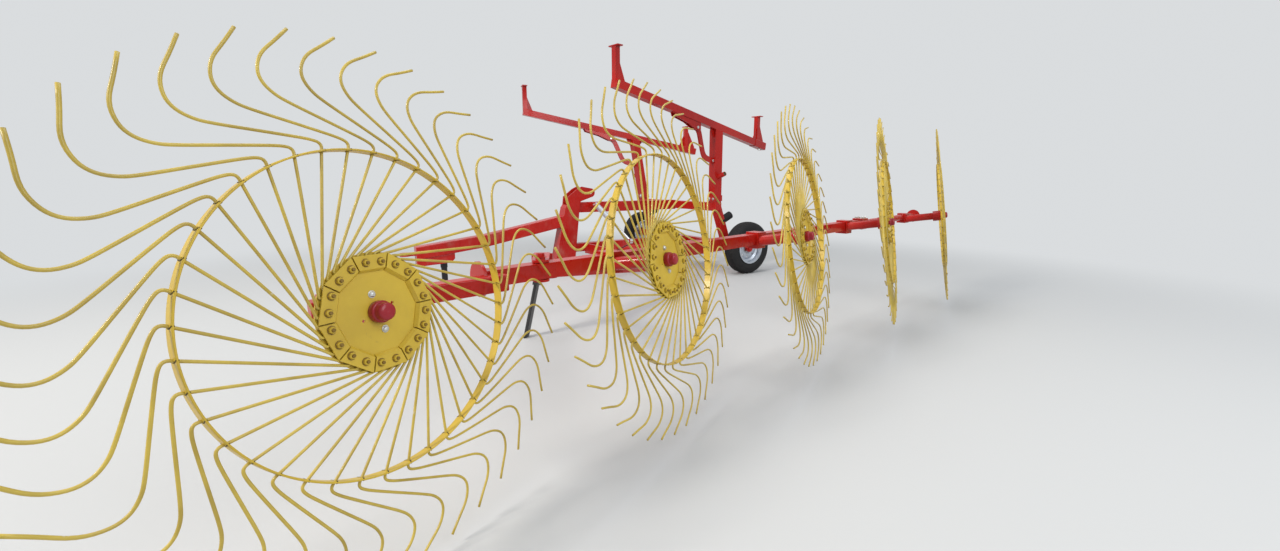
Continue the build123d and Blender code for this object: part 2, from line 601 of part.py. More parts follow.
lug_point = on_cylinder(cyl_len)
barrel = round_bar(tuple(on_cylinder(CYL_EYE_R + CYL_END_GAP)), tuple(on_cylinder(BARREL_LEN)), BARREL_R)
barrel -= round_bar(tuple(on_cylinder(CYL_EYE_R + CYL_EYE_NECK)), tuple(on_cylinder(BARREL_LEN - GLAND)), BARREL_BORE_R)
barrel -= round_bar(tuple(on_cylinder(BARREL_LEN - GLAND - 1)), tuple(on_cylinder(BARREL_LEN + 1)), ROD_R + RUN)
barrel += round_bar(tuple(cyl_top), tuple(on_cylinder(CYL_EYE_R + CYL_END_GAP + 1)), CYL_NECK_R)
barrel += eye_at(cyl_top)
barrel -= pin_hole(cyl_top)
piston_at = BARREL_LEN - GLAND - PISTON_BACK
rod = round_bar(tuple(on_cylinder(piston_at)), tuple(lug_point), ROD_R)
rod += round_bar(tuple(on_cylinder(piston_at)), tuple(on_cylinder(piston_at + PISTON_LEN)), BARREL_BORE_R - SEAT)
rod += eye_at(lug_point)
rod -= pin_hole(lug_point)

# wing beam
def on_wing(s, inward, lift):
    """A point on the wing: s along it from the first wheel, inward and up from the main beam's rising line."""
    spot = beam_1 + wing_dir * s + wing_in * inward
    return (spot.X, spot.Y, WING_Z + WING_RISE * s + lift)


nose_in = -(BEAM_SIZE + NOSE_SIZE) / 2
nose_beam = box_beam(on_wing(NOSE_START_S, nose_in, NOSE_LIFT), on_wing(NOSE_END_S, nose_in, NOSE_LIFT),
                     NOSE_SIZE, NOSE_SIZE)
wing_beam = box_beam(on_wing(BEAM_START_S, 0, 0), on_wing(BEAM_END_S, 0, 0), BEAM_SIZE, BEAM_SIZE)
wing_beam += round_bar(on_wing(BEAM_START_S, 0, 0), on_wing(BEAM_START_S + END_FLANGE_T, 0, 0), NOSE_FLANGE_R)
wing_beam -= nose_beam
wing_beam -= round_bar((swing.X, swing.Y, swing_z - BEAM_SIZE), (swing.X, swing.Y, swing_z + BEAM_SIZE), SWING_PIN_R + RUN)
end_tube = round_bar(on_wing(BEAM_END_S - TUBE_LAP, 0, 0), on_wing(TUBE_END_S, 0, 0), TUBE_R)
end_tube += round_bar(on_wing(TUBE_END_S, 0, 0), on_wing(TUBE_END_S + END_FLANGE_T, 0, 0), END_FLANGE_R)
wing_beam -= round_bar(on_wing(BEAM_END_S - TUBE_LAP, 0, 0), on_wing(BEAM_END_S + 1, 0, 0), TUBE_R + SEAT)
clamp_s = BEAM_END_S - CLAMP_BACK - CLAMP_LEN
clamp = box_beam(on_wing(clamp_s, 0, 0), on_wing(clamp_s + CLAMP_LEN, 0, 0),
                 BEAM_SIZE + 2 * CLAMP_T, BEAM_SIZE + 2 * CLAMP_T)
clamp -= wing_beam
clamp -= end_tube
clamp = max(clamp.solids(), key=lambda one: one.volume)

# finger wheels
half_tine = TINE / 2


def tine_solid():
    """One tine of square wire: a mitred ribbon in the wheel's plane, given its thickness across it."""
    points = [Vector(out * RIM_RAD, side * RIM_RAD, 0) for out, side in TINE_PATH]
    left, right = [], []
    for i, point in enumerate(points):
        before = (points[i] - points[i - 1]).normalized() if i else None
        after = (points[i + 1] - points[i]).normalized() if i + 1 < len(points) else None
        if before is None:
            before = after
        if after is None:
            after = before
        middle = (before + after).normalized()
        across = Vector(-middle.Y, middle.X, 0)
        reach = half_tine / (across.X * -before.Y + across.Y * before.X)
        left.append(point + across * reach)
        right.append(point - across * reach)
    outline = [(p.X, p.Y) for p in left] + [(p.X, p.Y) for p in reversed(right)]
    return extrude(Pos(0, 0, -half_tine) * make_face(Polyline(*outline, close=True)), amount=TINE)


one_tine = tine_solid()
tine_step = 360 / TINES

band = Cylinder(RIM_RAD + BAND_T / 2, BAND_W) - Cylinder(RIM_RAD - BAND_T / 2, BAND_W + 2)
for k in range(TINES):
    band += Rot(0, 0, k * tine_step) * one_tine

disc_front, disc_back = -half_tine, -half_tine - DISC_T
hub = Pos(0, 0, disc_back + DISC_T / 2) * Cylinder(HUB_DISC_R, DISC_T)
hub += Pos(0, 0, (disc_back - HUB_BACK) / 2) * Cylinder(HUB_R, HUB_BACK + disc_back)
clamp_turn = 360 / CLAMPS
half_turn = radians(clamp_turn / 2)
flat_r = HUB_DISC_R * cos(half_turn)
wide_in, wide_out = [r * tan(half_turn) - CLAMP_GAP / 2 for r in (CLAMP_IN_R - DISC_T, flat_r)]
# a clamp plate's section: flat over the tines, with an inner lip bent down to the disc
plate_section = Plane.XZ * make_face(Polyline(
    (CLAMP_IN_R, disc_front), (CLAMP_IN_R + DISC_T, disc_front), (CLAMP_IN_R + DISC_T + CLAMP_LIP / 2, half_tine),
    (flat_r, half_tine), (flat_r, half_tine + DISC_T), (CLAMP_IN_R + CLAMP_LIP / 2, half_tine + DISC_T),
    (CLAMP_IN_R, disc_front + DISC_T / 2), close=True))
plate = extrude(plate_section, amount=wide_out, both=True)
plate &= extrude(Pos(0, 0, disc_front) * make_face(Polyline(
    (CLAMP_IN_R - DISC_T, -wide_in), (flat_r, -wide_out), (flat_r, wide_out), (CLAMP_IN_R - DISC_T, wide_in),
    close=True)), amount=TINE + DISC_T)
for side in (-1, 1):
    plate += Rot(0, 0, side * BOLT_TURN + BOLT_SHIFT) * Pos(BOLT_CIRCLE_R, 0, 0) * Cylinder(BOLT_R, TINE + DISC_T / 2)
for k in range(CLAMPS):
    hub += Rot(0, 0, (k + 0.5) * clamp_turn) * plate
for turn in (DISC_HOLE_TURN, DISC_HOLE_TURN + 180):
    hub -= Rot(0, 0, turn) * Pos(DISC_HOLE_CIRCLE_R, 0, 0) * Cylinder(DISC_HOLE_R, 4 * DISC_T)
hub -= Pos(0, 0, disc_back - HUB_BACK / 2) * Cylinder(STUB_R + RUN, HUB_BACK)
cap = revolve(Plane.XZ * make_face(Polyline(
    (0, disc_front), *[(radius, disc_front + height) for radius, height in CAP_OUTLINE],
    (0, disc_front + CAP_OUTLINE[-1][1]), close=True)), axis=Axis.Z)

# what carries each stub
WHEEL_CARRIERS = (
    # inward, half size, lift
    (nose_in, NOSE_SIZE / 2, NOSE_LIFT),
    (0, BEAM_SIZE / 2, 0),
    (0, BEAM_SIZE / 2, 0),
    (0, BEAM_SIZE / 2, 0),
    (0, TUBE_R, 0),
)
stubs = []
stub_back = BEAM_OFFSET / cos(lean)
stub = round_bar((0, 0, -stub_back), (0, 0, disc_back - STUB_GAP), STUB_R)
stub += round_bar((0, 0, -stub_back), (0, 0, -HUB_BACK - SIDE), COLLAR_R)
stub_slew = tan(radians(WHEEL_ANGLE - WING_ANGLE))
for k in range(WHEELS):
    centre = hub_1 + wing_dir * (WHEEL_PITCH * k) + Vector(0, 0, HUB_HEIGHTS[k])
    place = Plane(origin=centre, x_dir=wheel_dir, z_dir=wheel_axis).location
    nodes[f"tine_ring_{k + 1}"] = place * band
    nodes[f"wheel_disc_{k + 1}"] = place * hub
    nodes[f"hub_cap_{k + 1}"] = place * cap
    inward, size, lift = WHEEL_CARRIERS[k]
    s_mid = WHEEL_PITCH * k - (inward - size) * stub_slew
    root_block = Plane(origin=on_wing(s_mid, inward, lift - size - ROOT_DROP), x_dir=wing_dir, z_dir=(0, 0, 1))
    one = extrude(root_block * Rectangle(ROOT_LEN, 2 * (size + ROOT_WALL)), amount=2 * size + ROOT_DROP + ROOT_WALL)
    one += place * stub
    for carrier in (wing_beam, nose_beam, end_tube):
        one -= carrier
    stubs.append(max(one.solids(), key=lambda part: part.volume))

nodes["drawbar"] = drawbar
nodes["towing_eye"] = eye
nodes["tower"] = tower
nodes["hitch_box"] = hitch_box
nodes["main_beam"] = main_beam
nodes["lower_beam"] = lower_beam
nodes["cross_beam"] = cross_beam
nodes["axle_beam"] = axle_beam
nodes["wheel_legs"] = wheel_legs
nodes["jack_tube"] = jack_tube
nodes["jack_leg"] = jack_leg
nodes["torque_tube"] = torque_tube
nodes["boom_arm"] = boom
nodes["boom_bracket_front"] = bracket_front
nodes["boom_bracket_rear"] = bracket_rear
nodes["stand_sleeve"] = stand_sleeve
nodes["stand_leg"] = stand_leg
nodes["lift_barrel"] = barrel
nodes["lift_rod"] = rod
nodes["wing_beam"] = wing_beam
nodes["nose_beam"] = nose_beam
nodes["end_tube"] = end_tube
nodes["tube_clamp"] = clamp
nodes["wheel_stubs"] = solids_of(*stubs)

drop = Pos(0, 0, -EYE_Z)
for name, piece in nodes.items():
    export_step(drop * piece, f"parts/{name}.step")
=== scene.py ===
import json
import math

import bpy
import numpy as np
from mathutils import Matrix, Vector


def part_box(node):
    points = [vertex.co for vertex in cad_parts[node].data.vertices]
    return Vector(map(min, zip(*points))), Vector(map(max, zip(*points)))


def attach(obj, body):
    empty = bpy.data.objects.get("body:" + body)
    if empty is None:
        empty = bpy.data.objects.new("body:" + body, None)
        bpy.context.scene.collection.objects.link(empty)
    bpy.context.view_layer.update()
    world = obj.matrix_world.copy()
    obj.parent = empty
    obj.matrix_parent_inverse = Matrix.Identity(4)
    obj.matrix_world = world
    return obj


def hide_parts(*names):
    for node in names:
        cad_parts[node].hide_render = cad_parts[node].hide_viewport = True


bl_info = {
    "name": "Hay tedder",
    "version": (1, 0, 0),
    "blender": (4, 5, 0),
    "location": "View3D > Sidebar > Tedder",
    "description": "Looks of a trailed hay tedder with a raking wing of finger wheels",
    "category": "Object",
}

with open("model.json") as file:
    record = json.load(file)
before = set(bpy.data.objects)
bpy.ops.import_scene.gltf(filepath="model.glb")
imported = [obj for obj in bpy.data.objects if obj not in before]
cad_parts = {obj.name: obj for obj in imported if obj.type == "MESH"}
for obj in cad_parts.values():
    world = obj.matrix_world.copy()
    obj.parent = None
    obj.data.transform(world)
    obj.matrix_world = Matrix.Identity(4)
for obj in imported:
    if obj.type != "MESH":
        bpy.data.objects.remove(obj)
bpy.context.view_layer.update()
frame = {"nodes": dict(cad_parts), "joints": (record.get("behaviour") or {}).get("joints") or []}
JOINTS = {joint["name"]: joint for joint in frame["joints"]}
UP = np.array([0.0, 0.0, 1.0])
AXLE = (0.0, 0.0, 1.0)

# the towing eye's height above the ground, in metres; the frame's origin lies in the eye
EYE_HEIGHT = 0.370

# masts and cradle bars of the left side, in millimetres above the ground
CRADLE_FRONT = (1206, 1747, 2002)
CRADLE_REAR = (728, 4152, 1560)
MAST_FOOT = (790, 3400, 840)
MAST_TOP_Y = 3300

# clamp plates' upper face and hub disc's front face, in metres along a finger wheel's axis
PLATE_TOP = 0.0088
DISC_FRONT = -0.0038
PLATES = 10


class TedderSizes(bpy.types.PropertyGroup):
    """Sizes of the pieces that are made here."""
    wheels: bpy.props.IntProperty(name="Finger wheels", description="Number of finger wheels", default=5)
    tines: bpy.props.IntProperty(name="Tines", description="Tines on each finger wheel", default=40)
    rim_radius: bpy.props.FloatProperty(
        name="Rim radius", description="Radius of the rim band", default=0.440, unit="LENGTH")
    rim_width: bpy.props.FloatProperty(
        name="Rim width", description="Width of the rim band", default=0.032, unit="LENGTH")
    rim_wall: bpy.props.FloatProperty(
        name="Rim wall", description="Thickness of the rim band", default=0.005, unit="LENGTH")
    wire: bpy.props.FloatProperty(
        name="Tine wire", description="Diameter of the tine wire", default=0.0078, unit="LENGTH")
    tyre_radius: bpy.props.FloatProperty(
        name="Tyre radius", description="Radius of the tyres", default=0.310, unit="LENGTH")
    tyre_width: bpy.props.FloatProperty(
        name="Tyre width", description="Width of the tyres", default=0.165, unit="LENGTH")
    edge: bpy.props.FloatProperty(
        name="Edge radius", description="Rounding of the frame's edges", default=0.006, unit="LENGTH")
    weld: bpy.props.FloatProperty(
        name="Weld", description="Radius of a weld bead", default=0.004, unit="LENGTH")


def colour_property(name, description, value):
    """A colour property of the panel."""
    return bpy.props.FloatVectorProperty(
        name=name, description=description, subtype="COLOR", size=3, default=value)


class TedderColours(bpy.types.PropertyGroup):
    """Colours of the finishes."""
    frame_red: colour_property("Frame red", "Gloss paint of the frame", (0.46, 0.012, 0.007))
    frame_deep: colour_property("Frame deep red", "Darker patches of the frame's paint", (0.36, 0.008, 0.006))
    wheel_yellow: colour_property("Wheel yellow", "Paint of rims and hub plates", (0.62, 0.425, 0.036))
    tine_yellow: colour_property("Tine yellow", "Thin paint of the tines", (0.57, 0.415, 0.060))
    cap_red: colour_property("Cap red", "Moulded red of the hub caps", (0.34, 0.012, 0.022))
    rubber: colour_property("Rubber", "Tyres, buffers and valves", (0.009, 0.009, 0.010))
    silver: colour_property("Silver", "Paint of the wheel rims", (0.50, 0.54, 0.60))
    black: colour_property("Black", "Paint of jack and stand", (0.020, 0.020, 0.022))
    zinc: colour_property("Zinc", "Plated bolts", (0.62, 0.62, 0.60))
    floor: colour_property("Floor", "Studio floor", (0.56, 0.56, 0.555))
    backdrop: colour_property("Backdrop", "Background behind the machine", (0.70, 0.72, 0.735))


def sizes():
    """The sizes of the scene's property group."""
    return bpy.context.scene.tedder_sizes


def colours():
    """The colours of the scene's property group."""
    return bpy.context.scene.tedder_colours


# Shader maths

class Value:
    """A socket in maths written as Python expressions: each operator adds one Math node."""

    def __init__(self, tree, socket):
        self.tree = tree
        self.socket = socket

    def math(self, operation, first, second=None):
        """One Math node on two values."""
        node = self.tree.nodes.new("ShaderNodeMath")
        node.operation = operation
        for slot, value in zip(node.inputs, (first, second)):
            if isinstance(value, Value):
                self.tree.links.new(value.socket, slot)
            elif value is not None:
                slot.default_value = value
        return Value(self.tree, node.outputs[0])

    def __add__(self, other):
        return self.math("ADD", self, other)

    def __radd__(self, other):
        return self.math("ADD", other, self)

    def __sub__(self, other):
        return self.math("SUBTRACT", self, other)

    def __rsub__(self, other):
        return self.math("SUBTRACT", other, self)

    def __mul__(self, other):
        return self.math("MULTIPLY", self, other)

    def __rmul__(self, other):
        return self.math("MULTIPLY", other, self)


class Nodes:
    """An emptied node tree, and the one way that nodes other than Math are added to it."""

    def __init__(self, tree):
        self.tree = tree
        self.tree.nodes.clear()

    def node(self, kind, settings=None, values=None, out=0):
        """One node: its settings first, then the values or links of its sockets."""
        node = self.tree.nodes.new(kind)
        for name, value in (settings or {}).items():
            setattr(node, name, value)
        for key, value in (values or {}).items():
            if isinstance(value, Value):
                self.tree.links.new(value.socket, node.inputs[key])
            else:
                node.inputs[key].default_value = value
        return Value(self.tree, node.outputs[out]) if node.outputs else None

    def shown_ray(self):
        """1 for a ray from the camera or off a mirror, which sees the pale background, and 0 for others."""
        kinds = ("Camera", "Glossy", "Transmission")
        camera, glossy, through = (self.node("ShaderNodeLightPath", out=f"Is {kind} Ray") for kind in kinds)
        return camera + glossy + through


class Finish(Nodes):
    """A material and its nodes."""

    def __init__(self, name):
        self.material = bpy.data.materials.new(name)
        self.material.use_nodes = True
        super().__init__(self.material.node_tree)

    def place(self):
        """Object coordinates."""
        return self.node("ShaderNodeTexCoord", out="Object")

    def noise(self, scale, detail=4.0, rough=0.55, stretch=(1, 1, 1), shift=(0, 0, 0)):
        """Noise from 0 to 1 on object coordinates."""
        where = self.node("ShaderNodeMapping", values={
            "Vector": self.place(), "Scale": stretch, "Location": shift})
        return self.node("ShaderNodeTexNoise", values={
            "Vector": where, "Scale": scale, "Detail": detail, "Roughness": rough})

    def step(self, value, low, high, start=0.0, end=1.0):
        """A smooth step from start to end as value goes from low to high."""
        return self.node("ShaderNodeMapRange", {"interpolation_type": "SMOOTHSTEP", "clamp": True}, {
            "Value": value, "From Min": low, "From Max": high, "To Min": start, "To Max": end})

    def mix(self, share, first, second):
        """A colour between two colours: first * (1 - share) + second * share."""
        # sockets of a Mix node set to colour: 0 the share, 6 and 7 its two colours, output 2 the result
        values = {0: share}
        for key, colour in ((6, first), (7, second)):
            values[key] = colour if isinstance(colour, Value) else (*colour, 1.0)
        return self.node("ShaderNodeMix", {"data_type": "RGBA"}, values, out=2)

    def height(self):
        """Height above the ground in metres."""
        return self.node("ShaderNodeSeparateXYZ", values={"Vector": self.place()}, out="Z") + EYE_HEIGHT

    def bump(self, value, strength, distance):
        """A normal bent by a height."""
        return self.node("ShaderNodeBump", values={
            "Height": value, "Strength": strength, "Distance": distance})

    def surface(self, fixed, **links):
        """The material of a shader: fixed numbers by socket name, and links for what changes."""
        varying = {name.replace("_", " "): value for name, value in links.items()}
        return self.shown(self.node("ShaderNodeBsdfPrincipled", values={**fixed, **varying}))

    def shown(self, shader):
        """The material, with a shader on its surface."""
        self.node("ShaderNodeOutputMaterial", values={"Surface": shader})
        return self.material


def gloss_paint(name, colour, deep, rough, coat, dust):
    """Sprayed gloss paint: slow colour changes, orange peel, dust low down and in patches, small chips."""
    paint = Finish(name)
    slow = paint.noise(1.7, 4.0, 0.5)
    grime = paint.noise(9.0, 6.0, 0.65, (1, 1, 0.5), (3, 1, 7))
    low = paint.step(paint.height(), 0.10, 1.10, 1.0, 0.15)
    dirt = paint.step(grime, 0.50, 0.76) * low * dust
    streaks = paint.step(paint.noise(16.0, 4.0, 0.6, (1, 1, 0.10), (1, 8, 2)), 0.62, 0.80) * 0.16
    chips = paint.step(paint.noise(55.0, 3.0, 0.5, shift=(5, 2, 1)), 0.780, 0.800) * 0.6
    base = paint.mix(paint.step(slow, 0.35, 0.68), colour, deep)
    base = paint.mix(streaks, base, tuple(c * 0.55 for c in deep))
    base = paint.mix(dirt, base, (0.34, 0.25, 0.19))
    base = paint.mix(chips, base, (0.14, 0.08, 0.065))
    peel = paint.noise(420.0, 2.0, 0.5)
    gloss = rough + paint.step(grime, 0.40, 0.80) * 0.12 + dirt * 0.30
    return paint.surface(
        {"IOR": 1.5, "Specular IOR Level": 0.22, "Coat Roughness": 0.06},
        Base_Color=base, Roughness=gloss, Coat_Weight=coat * (1.0 - dirt),
        Normal=paint.bump(peel * 0.4 + chips * -1.0, 0.08, 0.0006))


def wheel_paint():
    """Yellow paint of rims and hub plates: warm patches, dark grime in small patches, fine scratches."""
    paint = Finish("wheel_yellow_paint")
    pick = colours()
    slow = paint.noise(5.0, 5.0, 0.6)
    grime = paint.noise(26.0, 7.0, 0.7, shift=(2, 4, 6))
    scratch = paint.noise(60.0, 3.0, 0.5, (1, 1, 9), (9, 1, 3))
    yellow = tuple(pick.wheel_yellow)
    shaded = (yellow[0] * 0.82, yellow[1] * 0.80, yellow[2] * 0.8)
    base = paint.mix(paint.step(slow, 0.30, 0.72), yellow, shaded)
    base = paint.mix(paint.step(grime, 0.62, 0.80) * 0.45, base, (0.24, 0.15, 0.05))
    base = paint.mix(paint.step(scratch, 0.73, 0.80) * 0.5, base, (0.62, 0.52, 0.30))
    gloss = 0.37 + paint.step(grime, 0.4, 0.8) * 0.25
    return paint.surface(
        {"IOR": 1.5, "Coat Weight": 0.10, "Coat Roughness": 0.18},
        Base_Color=base, Roughness=gloss, Normal=paint.bump(paint.noise(300.0, 2.0, 0.5), 0.12, 0.0006))


def tine_paint():
    """Thin dull paint on spring wire: olive shade, rubbed bright spots and bare steel."""
    paint = Finish("tine_wire_paint")
    pick = colours()
    slow = paint.noise(9.0, 4.0, 0.6)
    rub = paint.noise(34.0, 5.0, 0.6, shift=(4, 4, 1))
    tone = tuple(pick.tine_yellow)
    base = paint.mix(paint.step(slow, 0.30, 0.70), tone, (tone[0] * 0.70, tone[1] * 0.68, tone[2] * 0.7))
    worn = paint.step(rub, 0.68, 0.74)
    base = paint.mix(worn * 0.6, base, (0.66, 0.62, 0.50))
    return paint.surface(
        {"IOR": 1.5, "Coat Weight": 0.1},
        Base_Color=base, Roughness=0.42 - worn * 0.12, Metallic=worn * 0.35,
        Normal=paint.bump(rub, 0.15, 0.0006))


def rubber_finish():
    """Rubber: near black, with pale dust in patches and a fine grain."""
    paint = Finish("tyre_rubber_black")
    slow = paint.noise(8.0, 6.0, 0.65)
    grain = paint.noise(520.0, 3.0, 0.6)
    base = paint.mix(paint.step(slow, 0.40, 0.80) * 0.12, tuple(colours().rubber), (0.16, 0.145, 0.125))
    return paint.surface(
        {"IOR": 1.5, "Specular IOR Level": 0.28},
        Base_Color=base, Roughness=0.62 + paint.step(slow, 0.3, 0.8) * 0.22,
        Normal=paint.bump(grain, 0.25, 0.0008))


def metal_finish(name, colour, metallic, rough, scale):
    """Painted silver, zinc or chrome: cloudy roughness and faint stains."""
    paint = Finish(name)
    cloud = paint.noise(scale, 5.0, 0.6)
    dull = tuple(c * 0.72 for c in colour)
    base = paint.mix(paint.step(cloud, 0.42, 0.78) * 0.7, colour, dull)
    return paint.surface(
        {"Metallic": metallic, "IOR": 1.5},
        Base_Color=base, Roughness=rough + paint.step(cloud, 0.3, 0.8) * 0.18,
        Normal=paint.bump(paint.noise(scale * 9.0, 2.0, 0.5), 0.06, 0.0005))


def floor_finish():
    """Pale studio floor that fades with distance into the background's colour, as seen and mirrored."""
    paint = Finish("studio_floor")
    middle = (1.5, 1.6, -EYE_HEIGHT)
    away = paint.node(
        "ShaderNodeVectorMath", {"operation": "DISTANCE"}, {0: paint.place(), 1: middle}, out="Value")
    share = paint.step(away, 3.4, 7.2) * paint.shown_ray()
    near = paint.node("ShaderNodeBsdfPrincipled", values={
        "Base Color": (*colours().floor, 1.0), "Roughness": 0.85, "Specular IOR Level": 0.2})
    far = paint.node("ShaderNodeEmission", values={"Color": (*colours().backdrop, 1.0), "Strength": 1.0})
    return paint.shown(paint.node("ShaderNodeMixShader", values={0: share, 1: near, 2: far}))


MATERIALS = {}


def material(name):
    """A finish by name, made once."""
    if name not in MATERIALS:
        pick = colours()
        makers = {
            "frame_red": lambda: gloss_paint(
                "frame_red_paint", tuple(pick.frame_red), tuple(pick.frame_deep), 0.27, 0.17, 0.38),
            "cap_red": lambda: gloss_paint(
                "cap_red_plastic", tuple(pick.cap_red), (0.30, 0.016, 0.024), 0.30, 0.22, 0.3),
            "wheel_yellow": wheel_paint,
            "tine_yellow": tine_paint,
            "rubber": rubber_finish,
            "silver": lambda: metal_finish("rim_silver_paint", tuple(pick.silver), 0.55, 0.34, 14.0),
            "black": lambda: gloss_paint(
                "black_gloss_paint", tuple(pick.black), (0.035, 0.035, 0.036), 0.36, 0.2, 0.5),
            "zinc": lambda: metal_finish("zinc_plate", tuple(pick.zinc), 0.9, 0.30, 60.0),
            "chrome": lambda: metal_finish("rod_chrome_plate", (0.78, 0.79, 0.80), 1.0, 0.08, 20.0),
            # dark brown washers and thread ends under the clamp plate nuts: painted shade round each nut
            "bolt_yellow": lambda: metal_finish("yellow_plated_bolts", (0.22, 0.13, 0.020), 0.30, 0.45, 60.0),
            # near black finish: painted shade in the rim slots and in the open ends of the pegs
            "slot_shade": lambda: metal_finish("slot_shadow", (0.060, 0.040, 0.012), 0.0, 0.75, 30.0),
            "floor": floor_finish,
        }
        MATERIALS[name] = makers[name]()
    return MATERIALS[name]


# Surfaces

def grid_faces(rows, columns, close_rows=False):
    """Four-sided faces of a grid of points, numbered row * columns + column, whose columns close."""
    i = np.arange(rows if close_rows else rows - 1)[:, None]
    j = np.arange(columns)[None, :]
    below, right = (i + 1) % rows, (j + 1) % columns
    corners = (i * columns + j, i * columns + right, below * columns + right, below * columns + j)
    return np.stack(corners, -1).reshape(-1, 4)


def volume_of(points, faces):
    """Six times the signed volume: the sum over faces of a . (b cross c) + a . (c cross d)."""
    a, b, c, d = (points[faces[:, k]] for k in range(4))
    return float((a * (np.cross(b, c) + np.cross(c, d))).sum())


def piece(name, parts, finish, body, smooth=True, replaces=()):
    """One object from a list of closed surfaces, each given as points and faces, riding on a body."""
    points, faces, start = [], [], 0
    for one, quads in parts:
        if volume_of(one, quads) < 0:
            quads = quads[:, ::-1]
        points.append(one)
        faces.append(quads + start)
        start += len(one)
    points, faces = np.concatenate(points), np.concatenate(faces)
    corners = [tuple(dict.fromkeys(row)) for row in faces.tolist()]
    mesh = bpy.data.meshes.new(name)
    mesh.from_pydata(points.tolist(), [], corners)
    mesh.materials.append(material(finish))
    mesh.polygons.foreach_set("use_smooth", np.full(len(mesh.polygons), smooth))
    mesh.update()
    made = bpy.data.objects.new(name, mesh)
    bpy.context.scene.collection.objects.link(made)
    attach(made, body)
    if replaces:
        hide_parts(*replaces)
    return made


def capped(rings):
    """A tube from rings of points, closed at both ends by a fan to each end's middle."""
    rows, columns = rings.shape[:2]
    points = np.concatenate([rings.reshape(-1, 3), rings[:1].mean(1), rings[-1:].mean(1)])
    faces = grid_faces(rows, columns)
    j = np.arange(columns)
    after = (j + 1) % columns
    low, high = rows * columns, rows * columns + 1
    last = (rows - 1) * columns
    first_cap = np.stack([np.full(columns, low), after, j, j], -1)
    last_cap = np.stack([np.full(columns, high), last + j, last + after, last + after], -1)
    return points, np.concatenate([faces, first_cap, last_cap])


def sides_of(path, reference):
    """Two directions square to a path at each point: tangent cross reference, and tangent cross that."""
    run = np.gradient(path, axis=0)
    run /= np.linalg.norm(run, axis=1, keepdims=True)
    side = np.cross(run, reference)
    side /= np.linalg.norm(side, axis=1, keepdims=True)
    return side, np.cross(run, side)


def carried(path, outline, reference=UP, scale=None):
    """An outline of (side, up) points carried along a path: point = path + side * s + up * u, times scale."""
    path = np.asarray(path, float)
    side, up = sides_of(path, np.asarray(reference, float))
    scale = np.ones(len(path)) if scale is None else np.asarray(scale)
    rings = path[:, None] + scale[:, None, None] * (
        side[:, None] * outline[None, :, :1] + up[:, None] * outline[None, :, 1:])
    return capped(rings)


def circle(radius, steps):
    """Points round a circle: radius * (cos, sin) of equal steps of a turn."""
    turn = np.linspace(0, 2 * np.pi, steps, endpoint=False)
    return np.stack([np.cos(turn), np.sin(turn)], -1) * radius


def axes_of(axis):
    """Two directions square to an axis: up cross axis, and axis cross that."""
    axis = np.asarray(axis, float)
    helper = UP if abs(axis[2]) < 0.9 else np.array([0.0, 1.0, 0.0])
    across = np.cross(helper, axis)
    across /= np.linalg.norm(across)
    return across, np.cross(axis, across)


def turned(profile, centre, axis, steps):
    """A closed profile of (radius, along) points turned round an axis.

    Each point is centre + axis * along + radius * (across * cos + other * sin)."""
    profile = np.asarray(profile, float)
    axis = np.asarray(axis, float)
    across, other = axes_of(axis)
    turn = np.linspace(0, 2 * np.pi, steps, endpoint=False)
    spoke = np.cos(turn)[:, None] * across + np.sin(turn)[:, None] * other
    points = (np.asarray(centre)[None, None] + profile[None, :, 1, None] * axis
              + profile[None, :, 0, None] * spoke[:, None])
    return points.reshape(-1, 3), grid_faces(steps, len(profile), True)


def hexagon(centre, axis, width, tall, turn=0.0):
    """A hexagon head: six flats whose top edge is drawn in, at six corners and six middles."""
    across, other = axes_of(axis)
    step = turn + np.arange(6) * np.pi / 3
    ring = np.cos(step)[:, None] * across + np.sin(step)[:, None] * other
    axis = np.asarray(axis, float)
    levels = ((0.0, 1.0), (0.78, 1.0), (1.0, 0.86))
    corner = width / math.sqrt(3)
    return capped(np.stack([
        np.asarray(centre) + axis * (tall * rise) + ring * (corner * share) for rise, share in levels]))


def smooth_line(points, samples):
    """A curve through the points: the quadratic B-spline whose spans' middles pass through them.

    Its control points solve 1/8 before + 3/4 own + 1/8 after = point, with both ends kept."""
    points = np.asarray(points, float)
    count = len(points)
    matrix = np.eye(count) * 0.75
    matrix += np.eye(count, k=1) * 0.125
    matrix += np.eye(count, k=-1) * 0.125
    matrix[0] = matrix[-1] = 0.0
    matrix[0, 0] = matrix[-1, -1] = 1.0
    control = np.linalg.solve(matrix, points)
    ends = np.concatenate([control[:1], (control[:-1] + control[1:]) / 2, control[-1:]])
    ends[1], ends[-2] = (control[0] + control[1]) / 2, (control[-1] + control[-2]) / 2
    share = np.linspace(0, 1, samples, endpoint=False)[:, None]
    first, middle, last = (1 - share) ** 2, 2 * share * (1 - share), share ** 2
    spans = [first * ends[k + 1] + middle * control[k + 1] + last * ends[k + 2] for k in range(count - 2)]
    return np.concatenate([control[:1], *spans, ends[-2:-1], control[-1:]])


# Finger wheels

# one tine in the wheel's plane, as shares of the rim's radius: out from the rim's crossing, and sideways
TINE_LINE = (
    (0.2107, 0.2294), (0.2400, 0.2612), (0.2560, 0.2687), (0.2900, 0.2563), (0.4200, 0.2096),
    (0.8800, 0.0441), (0.9900, 0.0048), (1.0250, -0.0070), (1.0500, 0.0020), (1.0680, 0.0350),
    (1.0900, 0.1050), (1.1370, 0.2810), (1.1850, 0.4620), (1.2150, 0.5420), (1.2600, 0.5960),
    (1.3250, 0.6180), (1.4150, 0.5980), (1.5100, 0.5330), (1.6000, 0.4700),
)


def wheel_frame(number):
    """Centre, axis, level direction and upright direction of a finger wheel."""
    joint = JOINTS[f"rake_wheel_{number}_spin"]
    axis = np.array(joint["axis"], float)
    axis /= np.linalg.norm(axis)
    level = np.cross(UP, axis)
    level /= np.linalg.norm(level)
    return np.array(joint["pos_m"], float), axis, level, np.cross(axis, level)


